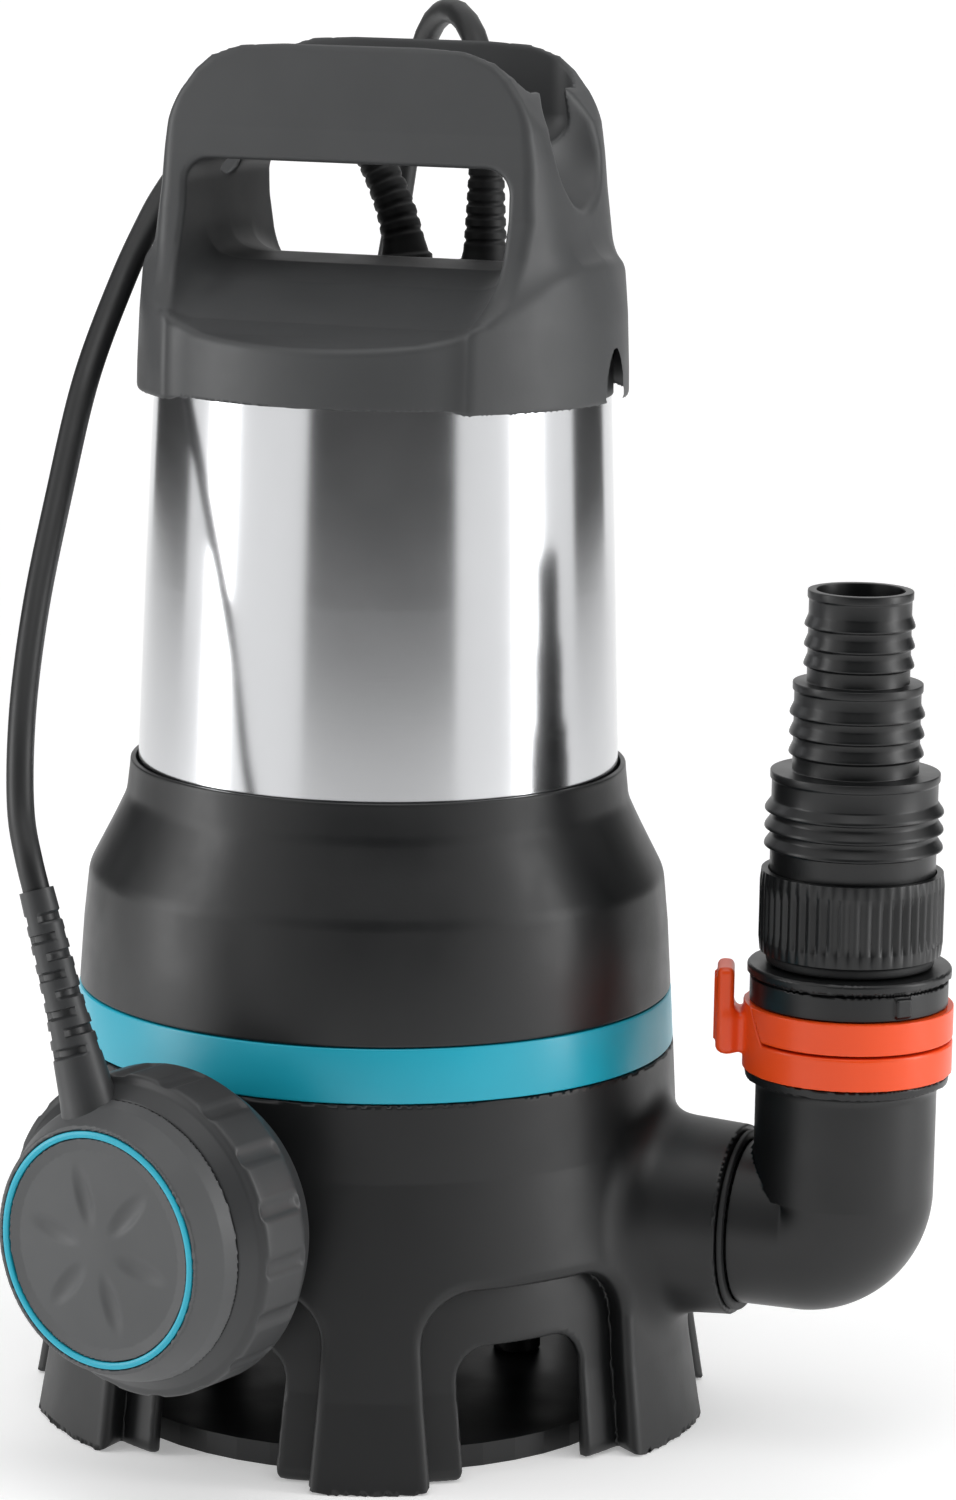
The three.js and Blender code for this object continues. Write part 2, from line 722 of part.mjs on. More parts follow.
// Window between the legs, above the domed platform.
function windowTool() {
  const shape = new THREE.Shape();
  const { windowHalf, windowFootHalf, windowFoot, windowWaist, windowTop, windowCorner } = grip;
  shape.moveTo(-windowFootHalf + 8, windowFoot);
  shape.lineTo(windowFootHalf - 8, windowFoot);
  shape.quadraticCurveTo(windowFootHalf + 2, windowFoot + 4, windowHalf - 2, windowWaist - 10);
  shape.lineTo(windowHalf, windowWaist);
  shape.quadraticCurveTo(windowHalf, windowTop, windowHalf - windowCorner, windowTop);
  shape.lineTo(windowCorner - windowHalf, windowTop);
  shape.quadraticCurveTo(-windowHalf, windowTop, -windowHalf, windowWaist);
  shape.lineTo(2 - windowHalf, windowWaist - 10);
  shape.quadraticCurveTo(-windowFootHalf - 2, windowFoot + 4, 8 - windowFootHalf, windowFoot);
  const through = slabAlongY(shape, cap.radius + OVER * 4, 5);
  const dome = new THREE.Shape();
  const reach = cap.radius + OVER * 6;
  const rise = cap.dome.map(([y, z]) => v2(y, z));
  const fall = cap.dome.slice(0, -1).reverse().map(([y, z]) => v2(-y, z));
  dome.moveTo(-reach, windowFoot - OVER * 20);
  dome.lineTo(reach, windowFoot - OVER * 20);
  dome.lineTo(reach, cap.edgeHeight);
  [...rise, ...fall].forEach((p) => dome.lineTo(p.x, p.y));
  dome.lineTo(-reach, cap.edgeHeight);
  return cut(through, slabAlongX(dome, cap.radius + OVER * 6));
}

// Trough along the top of the grip, dipping out through each end like the bowl of a spoon.
function troughTool() {
  const { troughHalf, troughFloor, troughCorner, spoonRadius } = grip;
  const shape = new THREE.Shape();
  shape.moveTo(-troughHalf - 1.5, cap.top + OVER * 2);
  shape.lineTo(-troughHalf, troughFloor + troughCorner);
  shape.quadraticCurveTo(-troughHalf, troughFloor, troughCorner - troughHalf, troughFloor);
  shape.lineTo(troughHalf - troughCorner, troughFloor);
  shape.quadraticCurveTo(troughHalf, troughFloor, troughHalf, troughFloor + troughCorner);
  shape.lineTo(troughHalf + 1.5, cap.top + OVER * 2);
  const trough = slabAlongX(shape, cap.radius + OVER * 2, 4);
  const spoonLength = 46;
  const spoonTilt = 49;
  const spoons = [0, 180].map((turn) =>
    disc(spoonRadius, -spoonLength, spoonLength, FACETS.small)
      .rotateY(Math.PI / 2 + rad(90 - spoonTilt))
      .translate(51, 0, 370)
      .rotateZ(rad(turn)),
  );
  const aboveFloor = box([-cap.radius - 20, -30, 340], [cap.radius + 20, 30, cap.top + 60]);
  const keepMiddle = box([-44, -30, 330], [44, 30, troughFloor]);
  return join(trough, cut(meet(join(...spoons), aboveFloor), keepMiddle));
}

function handleCap() {
  const body = meet(capOuter(), slabAlongX(capSideView(), cap.radius + OVER * 2, 2));
  const socket = revolve(
    [
      [0, cap.bottom - OVER],
      [tubeRadiusAt(cap.bottom - OVER) + GAP, cap.bottom - OVER],
      [tubeRadiusAt(tubeTop) + GAP, tubeTop + GAP],
      [cap.cavityRadius, tubeTop + GAP],
      [cap.cavityRadius, cap.cavityTop],
      [0, cap.cavityTop],
    ],
    FACETS.large,
  );
  const seats = [glandSeat.powerX, glandSeat.floatX].map((x) =>
    disc(glandSeat.radius, cap.cavityTop - OVER, glandSeat.top, FACETS.small).translate(x, glandSeat.y, 0),
  );
  return cut(join(cut(body, windowTool(), troughTool()), ...seats), socket);
}

// ---------------------------------------------------------------- outlet

function outletRingBody() {
  return ring(outletRing.boreRadius, outletRing.radius, ringStart, ringStart + outletRing.thickness)
    .rotateY(Math.PI / 2)
    .translate(0, 0, outlet.axisHeight);
}

// One quarter of a turned bend, tight enough that its inside is a crease.
function bend(radius) {
  const outline = [];
  const steps = 12;
  const from = Math.acos(Math.min(1, elbow.bendRadius / radius));
  for (let i = 0; i <= steps; i += 1) {
    const turn = THREE.MathUtils.mapLinear(i, 0, steps, -Math.PI + from, Math.PI - from);
    outline.push([Math.max(0, elbow.bendRadius + radius * Math.cos(turn)), radius * Math.sin(turn)]);
  }
  outline[0][0] = 0;
  outline[steps][0] = 0;
  const whole = revolve(outline, FACETS.medium).rotateX(Math.PI / 2);
  const centreX = elbow.axisDistance - elbow.bendRadius;
  const centreZ = outlet.axisHeight + elbow.bendRadius;
  const quarter = box([centreX, -60, centreZ - 60], [centreX + 60, 60, centreZ]);
  return meet(whole.translate(centreX, 0, centreZ), quarter);
}

function elbowPath(inletRadius, outletRadius, start, top) {
  const bendStart = elbow.axisDistance - elbow.bendRadius;
  const bendTop = outlet.axisHeight + elbow.bendRadius;
  const level = revolve(
    [
      [0, start],
      [inletRadius, start],
      [outletRadius, bendStart],
      [0, bendStart],
    ],
    FACETS.medium,
  )
    .rotateY(Math.PI / 2)
    .translate(0, 0, outlet.axisHeight);
  const upright = disc(outletRadius, bendTop, top).translate(elbow.axisDistance, 0, 0);
  return join(level, bend(outletRadius), upright);
}

function outletElbow() {
  const spigotStart = outlet.end - outlet.socketDepth + GAP;
  const spigot = disc(elbow.spigotRadius, spigotStart, elbowStart + OVER)
    .rotateY(Math.PI / 2)
    .translate(0, 0, outlet.axisHeight);
  const lip = disc(elbow.lipRadius, elbow.lipHeight, elbow.lipHeight + elbow.lipThickness);
  const neck = disc(elbow.neckRadius, elbow.lipHeight, elbow.top);
  const top = join(lip, neck).translate([elbow.axisDistance, 0, 0]);
  const body = elbowPath(elbow.inletRadius, elbow.outletRadius, elbowStart, elbow.lipHeight + OVER);
  const bore = elbowPath(elbow.boreRadius, elbow.boreRadius, spigotStart - OVER, elbow.top + OVER);
  return cut(join(body, spigot, top), bore);
}

function leverBody() {
  const { reach, width, height, corner, ribs, ribDepth } = lever;
  const root = lockRing.radius - lockRing.thickness / 2;
  const tip = lockRing.radius + reach;
  const bottom = lockBottom + lever.lift;
  const top = bottom + height;
  const shape = new THREE.Shape();
  shape.moveTo(root, lockBottom + 1);
  shape.lineTo(tip - corner * 1.6, bottom);
  shape.quadraticCurveTo(tip, bottom, tip, bottom + corner * 1.6);
  shape.lineTo(tip - 0.6, top - corner);
  shape.quadraticCurveTo(tip - 0.6, top, tip - 0.6 - corner, top);
  shape.lineTo(lockRing.radius + 1.6, top - 1);
  shape.lineTo(lockRing.radius + 1.2, lockTop - 1);
  shape.lineTo(root, lockTop - 1);
  const paddle = slabAlongY(shape, width / 2, 4);
  const pitch = (top - bottom) / (ribs + 2);
  const slots = Array.from({ length: ribs }, (_, i) => {
    const z = bottom + pitch * (i + 1.5);
    return box([tip - ribDepth - 0.6, -width, z - pitch / 5], [tip + OVER, width, z + pitch / 5]);
  });
  return cut(paddle, ...slots);
}

// The split sleeve above the ramp is a piece of its own; this is the space that it takes.
function lockSplit(shrink) {
  const { radius, thickness, splitHeight, splitAngle, splitStart } = lockRing;
  const facets = 30;
  const outer = radius - shrink * 0.5;
  const inner = radius - thickness * 0.45 + shrink;
  const wall = ring(inner, outer + (shrink ? 0 : OVER), lockTop - splitHeight + shrink, lockTop + (shrink ? 0 : OVER), 60);
  const wedge = new THREE.Shape();
  wedge.moveTo(0, 0);
  const margin = shrink ? 1.2 : 0;
  for (let i = 0; i <= facets; i += 1) {
    const turn = rad(splitStart + margin + ((splitAngle - 2 * margin) * i) / facets);
    wedge.lineTo((radius + 20) * Math.cos(turn), (radius + 20) * Math.sin(turn));
  }
  return meet(wall, slab(wedge, lockBottom - 20, lockTop + 20));
}

function lockRingBody() {
  const inner = lockRing.radius - lockRing.thickness;
  const hoop = ring(inner, lockRing.radius, lockBottom, lockTop, 60);
  const paddle = leverBody().rotate([0, 0, lever.angle]);
  return cut(join(hoop, paddle), lockSplit(0));
}

function couplingCollar() {
  const grooveTop = collarTop - collar.flangeThickness;
  const outline = [
    [elbow.boreRadius, collarBottom],
    [collar.bodyRadius, collarBottom],
    [collar.bodyRadius, grooveTop - collar.grooveHeight],
    [collar.bodyRadius - collar.grooveDepth, grooveTop - collar.grooveHeight],
    [collar.bodyRadius - collar.grooveDepth, grooveTop],
    [collar.flangeRadius, grooveTop],
    [collar.flangeRadius, collarTop - 0.6],
    [collar.flangeRadius - 0.6, collarTop],
    [collar.neckRadius, collarTop],
    [collar.neckRadius, collarTop + collar.neckHeight],
    [elbow.boreRadius, collarTop + collar.neckHeight],
    [elbow.boreRadius, collarBottom],
  ];
  const tab = box(
    [collar.bodyRadius - 2, -collar.tabWidth / 2, collarBottom + 0.8],
    [collar.bodyRadius + collar.tabReach, collar.tabWidth / 2, grooveTop - collar.grooveHeight - 0.6],
  ).rotateZ(rad(collar.tabAngle));
  return join(revolve(outline, FACETS.medium), tab);
}

function hoseGasket() {
  return ring(gasket.boreRadius, gasket.radius, gasketBottom, gasketTop);
}

function gripNut() {
  const ribTop = nutTop - nut.plainRim;
  const outline = new THREE.Shape();
  for (let i = 0; i < nut.ribs; i += 1) {
    const pitch = (2 * Math.PI) / nut.ribs;
    [
      [0, nut.radius],
      [0.5, nut.radius],
      [0.62, nut.radius - nut.ribDepth],
      [0.88, nut.radius - nut.ribDepth],
    ].forEach(([share, r], k) => {
      const turn = pitch * (i + share);
      const place = [r * Math.cos(turn), r * Math.sin(turn)];
      if (i === 0 && k === 0) outline.moveTo(...place);
      else outline.lineTo(...place);
    });
  }
  const ribbed = slab(outline, nutBottom, ribTop);
  const rim = disc(nut.radius, ribTop - OVER, nutTop, FACETS.large);
  const bore = disc(nozzle.skirtRadius + GAP, nutBottom - OVER, nutTop + OVER, FACETS.medium);
  return cut(join(ribbed, rim), bore);
}

// Stepped nozzle: each step has a rim, a plain body and saw-tooth barbs that grip the hose.
function nozzleOutline() {
  const outside = [[nozzle.skirtRadius, nutBottom + GAP]];
  outside.push([nozzle.skirtRadius, nozzle.skirtTop]);
  nozzle.steps.forEach((step) => {
    const last = outside[outside.length - 1];
    if (last[0] > step.body + 0.1) outside.push([step.body, last[1]]);
    step.barbs.forEach((z) => {
      outside.push([step.barb, z]);
      outside.push([step.body, z + nozzle.barbRise]);
    });
    outside.push([step.rim, step.top - nozzle.rimHeight]);
    outside.push([step.rim, step.top]);
  });
  return outside;
}

function hoseNozzle() {
  const outside = nozzleOutline();
  const [large, middle, small] = nozzle.steps;
  const skirtBore = collar.neckRadius + GAP;
  const neckEnd = collarTop + collar.neckHeight + GAP * 2;
  const inside = [
    [small.body - nozzle.boreWall, small.top],
    [small.body - nozzle.boreWall, middle.top - nozzle.boreWall],
    [middle.body - nozzle.boreWall, middle.top - nozzle.boreWall * 2],
    [middle.body - nozzle.boreWall, large.top - nozzle.boreWall],
    [skirtBore, large.top - nozzle.boreWall * 3],
    [skirtBore, neckEnd],
    [skirtBore, nutBottom + GAP],
  ];
  const outline = [...outside, ...inside, outside[0]];
  return revolve(outline, FACETS.medium);
}

// ---------------------------------------------------------------- motor and hydraulics

function shaftBody() {
  return disc(shaft.radius, shaft.bottom, shaft.top, FACETS.small);
}

function rotorCore() {
  return ring(shaft.radius + GAP, rotor.radius, rotor.bottom, rotor.top, FACETS.medium);
}

function statorCore() {
  const bore = rotor.radius + stator.airGap;
  const slots = Array.from({ length: stator.slots }, (_, i) =>
    box([bore - OVER, -2.4, stator.bottom - OVER], [bore + 3, 2.4, stator.top + OVER]).rotateZ(
      (2 * Math.PI * i) / stator.slots,
    ),
  );
  return cut(ring(bore, stator.radius, stator.bottom, stator.top, FACETS.medium), ...slots);
}

function windingRing(bottom) {
  const { innerRadius, outerRadius, height, corner } = winding;
  const outline = [
    [innerRadius, bottom],
    [outerRadius, bottom],
    [outerRadius, bottom + height - corner],
    [outerRadius - corner, bottom + height],
    [innerRadius + corner, bottom + height],
    [innerRadius, bottom + height - corner],
    [innerRadius, bottom],
  ];
  return revolve(outline, FACETS.medium);
}

function bearingRing(bottom) {
  return ring(shaft.radius + GAP, bearing.radius, bottom, bottom + bearing.height, FACETS.small);
}

// A bracket disc with a hub that holds a bearing; the hub stands up from the disc.
function bracket(size, pocketFromTop) {
  const hubTop = size.bottom + size.hubHeight;
  const pocketRadius = bearing.radius + GAP;
  const pocketFloor = hubTop - pocketFromTop;
  const outline = [
    [shaft.radius + GAP * 2, size.bottom],
    [size.radius, size.bottom],
    [size.radius, size.bottom + size.thickness],
    [size.hubRadius, size.bottom + size.thickness],
    [size.hubRadius, hubTop],
    [pocketRadius, hubTop],
    [pocketRadius, pocketFloor],
    [shaft.radius + GAP * 2, pocketFloor],
    [shaft.radius + GAP * 2, size.bottom],
  ];
  return revolve(outline, FACETS.medium);
}

function tieBoltHoles(bottom, top) {
  return anglesOf(tieBolt).map((angle) =>
    around(disc(tieBolt.radius + GAP, bottom, top, FACETS.fine), tieBolt.ring, angle),
  );
}

function coverScrewHoles(bottom, top) {
  return anglesOf(coverScrew).map((angle) =>
    around(disc(coverScrew.radius + GAP, bottom, top, FACETS.fine), coverScrew.ring, angle),
  );
}

const oilCoverBottom = casing.chamberTop + casing.deckThickness + GAP;
const lowerBearingBottom = lowerShield.bottom + lowerShield.hubHeight - bearing.height - GAP;
const upperBearingBottom = upperShield.bottom + upperShield.hubHeight - bearing.height - GAP;
const coverScrewBottom = oilCoverBottom + coverScrew.sink;
const coverScrewTop = lowerShield.bottom + lowerShield.thickness + GAP + coverScrew.headHeight;
const tieBoltTop = upperShield.bottom + upperShield.thickness + GAP + tieBolt.headHeight;
const tieBoltBottom = lowerShield.bottom + OVER;

function oilChamberCover() {
  const hubTop = oilCoverBottom + oilCover.hubHeight;
  const outline = [
    [staticSeal.radius + GAP, oilCoverBottom],
    [oilCover.radius, oilCoverBottom],
    [oilCover.radius, lowerShield.bottom - GAP],
    [oilCover.radius - oilCover.wall, lowerShield.bottom - GAP],
    [oilCover.radius - oilCover.wall, oilCoverBottom + oilCover.thickness],
    [oilCover.hubRadius, oilCoverBottom + oilCover.thickness],
    [oilCover.hubRadius, hubTop],
    [staticSeal.radius + GAP, hubTop],
    [staticSeal.radius + GAP, oilCoverBottom],
  ];
  return cut(revolve(outline, FACETS.medium), ...coverScrewHoles(oilCoverBottom - OVER, hubTop));
}

function lowerBearingShield() {
  const top = lowerShield.bottom + lowerShield.hubHeight;
  return cut(
    bracket(lowerShield, bearing.height + GAP * 2),
    ...coverScrewHoles(lowerShield.bottom - OVER, top),
    ...tieBoltHoles(lowerShield.bottom - OVER, top),
  );
}

function upperBearingShield() {
  const top = upperShield.bottom + upperShield.hubHeight;
  return cut(bracket(upperShield, bearing.height + GAP * 2), ...tieBoltHoles(upperShield.bottom - OVER, top));
}

// A bolt that hangs by its head: the thread runs down from under the head.
function boltDown(size, bottom, top) {
  const underHead = top - size.headHeight;
  const outline = [
    [0, bottom],
    [size.radius, bottom],
    [size.radius, underHead],
    [size.headRadius, underHead],
    [size.headRadius, top],
    [0, top],
  ];
  return revolve(outline, FACETS.fine);
}

// Open impeller: back plate and hub with swept vanes below it.
function impellerBody() {
  const { radius, bottom, top, plate, hubRadius, vanes, vaneThickness, sweep } = impeller;
  const hub = disc(hubRadius, bottom + 2, top, FACETS.small);
  const back = disc(radius, top - plate, top, FACETS.medium);
  const blades = Array.from({ length: vanes }, (_, k) => {
    const outline = [];
    const steps = 6;
    const at = (i, side) => {
      const share = i / steps;
      const r = THREE.MathUtils.lerp(hubRadius - 2, radius - 1, share);
      const turn = rad((360 * k) / vanes - sweep * share) + (side * vaneThickness) / 2 / Math.max(r, hubRadius);
      return [r * Math.cos(turn), r * Math.sin(turn)];
    };
    for (let i = 0; i <= steps; i += 1) outline.push(at(i, -1));
    for (let i = steps; i >= 0; i -= 1) outline.push(at(i, 1));
    return slab(outline, bottom, top - plate + 0.5);
  });
  const bore = disc(shaft.radius + GAP, bottom - OVER, top + OVER, FACETS.small);
  return cut(join(back, hub, ...blades), bore);
}

function impellerNutBody() {
  const nutHeight = impeller.bottom + 2 - GAP;
  const hexagon = disc(impellerNut.flats / Math.sqrt(3), nutHeight - impellerNut.height, nutHeight, 6);
  const bore = disc(shaft.radius + GAP, nutHeight - impellerNut.height - OVER, nutHeight + OVER, FACETS.small);
  return cut(hexagon, bore);
}

function tubeSeal(radius, height) {
  const { section } = sealRing;
  return revolve(
    [
      [radius - section, height - section],
      [radius + section * 0.2, height - section],
      [radius + section * 0.2, height + section],
      [radius - section, height + section],
      [radius - section, height - section],
    ],
    FACETS.large,
  );
}

// ---------------------------------------------------------------- float switch

function floatGroup() {
  const group = new THREE.Group();
  const facing = float.facing.clone().normalize();
  const upright = new THREE.Vector3(0, 0, 1).addScaledVector(facing, -facing.z).normalize();
  const left = new THREE.Vector3().crossVectors(facing, upright);
  const lean = rad(float.reliefLean);
  const along = upright.multiplyScalar(Math.cos(lean)).addScaledVector(left, Math.sin(lean));
  const across = new THREE.Vector3().crossVectors(along, facing);
  const basis = new THREE.Matrix4().makeBasis(across, along, facing);
  group.quaternion.setFromRotationMatrix(basis);
  group.position.copy(float.centre);
  group.updateMatrixWorld(true);
  return group;
}

function floatFrontShell() {
  const { partingRadius, partingHeight, frontRadius, front, faceRadius, wall } = float;
  const start = partingHeight + GAP / 2;
  const outline = [
    [partingRadius - wall, start],
    [partingRadius, start],
    [partingRadius - 0.6, start + 4],
    [partingRadius - 2.4, start + 8],
    [frontRadius, front],
    [floatRing.outerRadius + GAP, front],
    [floatRing.outerRadius + GAP, front - floatRing.depth],
    [floatRing.innerRadius - GAP, front - floatRing.depth],
    [floatRing.innerRadius - GAP, front],
    [faceRadius - 1, front],
    [0, front],
    [0, front - wall * 1.6],
    [faceRadius, front - wall * 1.6],
    [partingRadius - wall - 3, start + 6],
    [partingRadius - wall, start],
  ];
  const reliefHole = disc(relief.rootRadius + GAP, 10, 60, FACETS.small).rotateX(-Math.PI / 2).translate(0, 0, relief.plane);
  return cut(revolve(outline, FACETS.medium), reliefHole);
}

function floatRearShell() {
  const { partingRadius, partingHeight, rimRadius, shoulderRadius, rimFront, rimBack, backRadius, back, wall } = float;
  const end = partingHeight - GAP / 2;
  const outline = [
    [0, back],
    [backRadius, back],
    [backRadius + 4, back + 3],
    [rimRadius - 1, rimBack],
    [rimRadius, rimBack + 2],
    [rimRadius, rimFront - 5],
    [shoulderRadius, rimFront],
    [partingRadius, end],
    [partingRadius - wall, end],
    [shoulderRadius - wall - 1, rimFront - 2],
    [shoulderRadius - wall - 1, rimBack + 2],
    [backRadius - 1, back + wall],
    [0, back + wall],
  ];
  const notches = Array.from({ length: float.notches }, (_, i) =>
    box(
      [rimRadius - float.notchDepth, -float.notchWidth / 2, rimBack + 3],
      [rimRadius + OVER, float.notchWidth / 2, rimFront + OVER],
    ).rotateZ(rad(15 + (360 * i) / float.notches)),
  );
  const reliefHole = disc(relief.rootRadius + GAP, 10, 60, FACETS.small).rotateX(-Math.PI / 2).translate(0, 0, relief.plane);
  return cut(revolve(outline, FACETS.medium), reliefHole, ...notches);
}

function floatAccentRing() {
  const top = float.front + GAP;
  return ring(floatRing.innerRadius, floatRing.outerRadius, top - floatRing.depth, top, FACETS.medium);
}

// Tapered relief with a ribbed, flexible end, lying along the float's own +Y.
function floatRelief() {
  const root = float.partingRadius - float.wall * 2;
  const outline = [
    [0, root],
    [relief.rootRadius, root],
    [relief.coneRadius, relief.coneEnd],
  ];
  const pitch = (relief.end - relief.coneEnd) / relief.ribs;
  for (let i = 0; i < relief.ribs; i += 1) {
    const z = relief.coneEnd + pitch * i;
    outline.push([relief.tipRadius - 0.5, z + pitch * 0.1]);
    outline.push([relief.tipRadius - 0.5, z + pitch * 0.4]);
    outline.push([relief.tipRadius + 0.5, z + pitch * 0.5]);
    outline.push([relief.tipRadius + 0.4, z + pitch * 0.95]);
  }
  outline.push([relief.tipRadius, relief.end]);
  outline.push([0, relief.end]);
  return revolve(outline, FACETS.fine).rotateX(-Math.PI / 2).translate(0, 0, relief.plane);
}

function reliefTip(group) {
  return new THREE.Vector3(0, relief.end + GAP, relief.plane).applyMatrix4(group.matrixWorld);
}

function reliefDirection(group) {
  return new THREE.Vector3(0, 1, 0).transformDirection(group.matrixWorld);
}

function floatPieces() {
  const group = floatGroup();
  const micro = box(
    [-floatSwitch.length / 2, floatSwitch.offset - floatSwitch.width / 2, floatSwitch.lift - floatSwitch.height / 2],
    [floatSwitch.length / 2, floatSwitch.offset + floatSwitch.width / 2, floatSwitch.lift + floatSwitch.height / 2],
  );
  const ball = new THREE.SphereGeometry(floatBall.radius, FACETS.fine * 2, FACETS.fine);
  ball.translate(0, floatBall.offset, floatBall.lift);
  group.add(
    piece("float_front_shell", floatFrontShell(), finish.floatPlastic),
    piece("float_rear_shell", floatRearShell(), finish.floatPlastic),
    piece("float_ring", floatAccentRing(), finish.accentPlastic),
    piece("float_relief", floatRelief(), finish.rubber),
    piece("float_microswitch", micro, finish.whitePlastic),
    piece("float_ball", ball, finish.plainSteel),
  );
  return group;
}

// ---------------------------------------------------------------- cables, coil and plug

// A tapered bend sleeve along a short route, standing on the cap's platform.
function straightSleeve(from, to) {
  const length = from.distanceTo(to);
  const outline = [
    [0, 0],
    [sleeve.footRadius, 0],
    [sleeve.footRadius, sleeve.footHeight],
    [sleeve.rootRadius, sleeve.footHeight + 1],
    [sleeve.radius, length * 0.6],
    [sleeve.tipRadius, length],
    [0, length],
  ];
  const geometry = revolve(outline, FACETS.fine);
  const direction = to.clone().sub(from).normalize();
  const turn = new THREE.Quaternion().setFromUnitVectors(new THREE.Vector3(0, 0, 1), direction);
  return geometry.applyQuaternion(turn).translate(from.x, from.y, from.z);
}

function curvedSleeve() {
  const stem = tubeAlong(floatSleeveRoute, sleeve.radius, cable.sides, 10);
  const base = disc(sleeve.footRadius, 0, sleeve.footHeight, FACETS.fine);
  return join(stem, base.translate(floatExit.x, floatExit.y, floatExit.z));
}

function cableBody(route) {
  return tubeAlong(route, cable.radius, cable.sides, cableSteps(route));
}

// A cable whose hinge end tapers to a point, so that it can turn against the cable it meets.
function hingedCable(route, hingeFirst) {
  const path = new THREE.CatmullRomCurve3(route.map(v3), false, "centripetal");
  const share = cable.taper / path.getLength();
  const hinge = path.getPointAt(hingeFirst ? 0 : 1);
  const base = path.getPointAt(hingeFirst ? share : 1 - share);
  const kept = route.filter((spot) => v3(spot).distanceTo(hinge) > cable.taper * 1.5);
  const shortened = hingeFirst ? [base.toArray(), ...kept] : [...kept, base.toArray()];
  const away = base.clone().sub(hinge).normalize();
  const cone = revolve([[0, cable.tip], [cable.tip, cable.tip], [cable.radius, cable.taper + cable.tip], [0, cable.taper + OVER]], cable.sides);
  const turn = new THREE.Quaternion().setFromUnitVectors(new THREE.Vector3(0, 0, 1), away);
  return join(cableBody(shortened), cone.applyQuaternion(turn).translate(hinge.x, hinge.y, hinge.z));
}

function coilBody() {
  const inner = coil.meanRadius - coil.width / 2;
  const outer = coil.meanRadius + coil.width / 2;
  const { corner, clearance } = coil;
  const outline = [
    [inner + corner, clearance],
    [outer - corner, clearance],
    [outer, clearance + corner],
    [outer, coilTop - corner],
    [outer - corner, coilTop],
    [inner + corner, coilTop],
    [inner, coilTop - corner],
    [inner, clearance + corner],
    [inner + corner, clearance],
  ];
  return revolve(outline, 32);
}

function coilTie() {
  const reach = tie.gap + tie.thickness;
  const inner = coil.meanRadius - coil.width / 2;
  const outer = coil.meanRadius + coil.width / 2;
  const low = coil.clearance;
  const outside = box(
    [inner - reach, -tie.width / 2, low - tie.clearBelow - tie.thickness],
    [outer + reach, tie.width / 2, coilTop + reach],
  );
  const inside = box([inner - tie.gap, -tie.width, low - tie.clearBelow], [outer + tie.gap, tie.width, coilTop + tie.gap]);
  return cut(outside, inside).rotate([0, 0, tie.angle]);
}

function plugGroup() {
  const group = new THREE.Group();
  const end = new THREE.Vector3(...tailRoute[tailRoute.length - 1]);
  const { radius, bodyLength, neckRadius, neckLength } = plug;
  const outline = [
    [0, 0],
    [cable.radius + 1.2, 0],
    [neckRadius, neckLength],
    [radius * 0.86, neckLength + 5],
    [radius, neckLength + 12],
    [radius, neckLength + bodyLength],
    [0, neckLength + bodyLength],
  ];
  const body = revolve(outline, FACETS.small).rotateY(Math.PI / 2);
  group.add(piece("plug_body", body, finish.rubber));
  const pinStart = neckLength + bodyLength + GAP;
  [-1, 1].forEach((side, i) => {
    const pin = disc(plugPin.radius, pinStart, pinStart + plugPin.length, FACETS.fine)
      .rotateY(Math.PI / 2)
      .translate(0, (side * plugPin.spacing) / 2, 0);
    group.add(piece(`plug_pin_${i + 1}`, pin, finish.plainSteel));
  });
  const turn = rad(plug.turn);
  group.position.set(end.x + GAP * 2 * Math.cos(turn), end.y + GAP * 2 * Math.sin(turn), end.z);
  group.rotation.z = turn;
  return group;
}

function coilGroup() {
  const group = new THREE.Group();
  group.position.set(coilCentre.x, coilCentre.y, 0);
  group.add(piece("power_coil", coilBody(), finish.rubber));
  group.add(piece("coil_tie", coilTie(), finish.rubber));
  group.add(piece("power_tail", cableBody(tailRoute), finish.rubber));
  group.add(plugGroup());
  return group;
}

function swingRoute(group) {
  const tip = reliefTip(group);
  const lead = reliefDirection(group);
  const near = tip.clone().addScaledVector(lead, 7);
  return [...floatSwingRoute, near.toArray(), tip.toArray()];
}

// ---------------------------------------------------------------- assembly

const pump = new THREE.Group();

function add(name, shape, look) {
  pump.add(piece(name, shape, look));
}

add("foot_plate", footPlate(), finish.casingPlastic);
add("pump_casing", pumpCasing(), finish.casingPlastic);
add("volute_drum", voluteDrum(), finish.casingPlastic);
add("accent_band", accentBand(), finish.accentPlastic);
add("shoulder_housing", shoulderHousing(), finish.housingPlastic);
add("motor_tube", motorTube(), finish.polishedSteel);
add("handle_cap", handleCap(), finish.capPlastic);
anglesOf(footColumn).forEach((angle, i) =>
  add(`foot_screw_${i + 1}`, around(screwUp(footScrew, footScrew.sink), footColumn.ring, angle), finish.plainSteel),
);

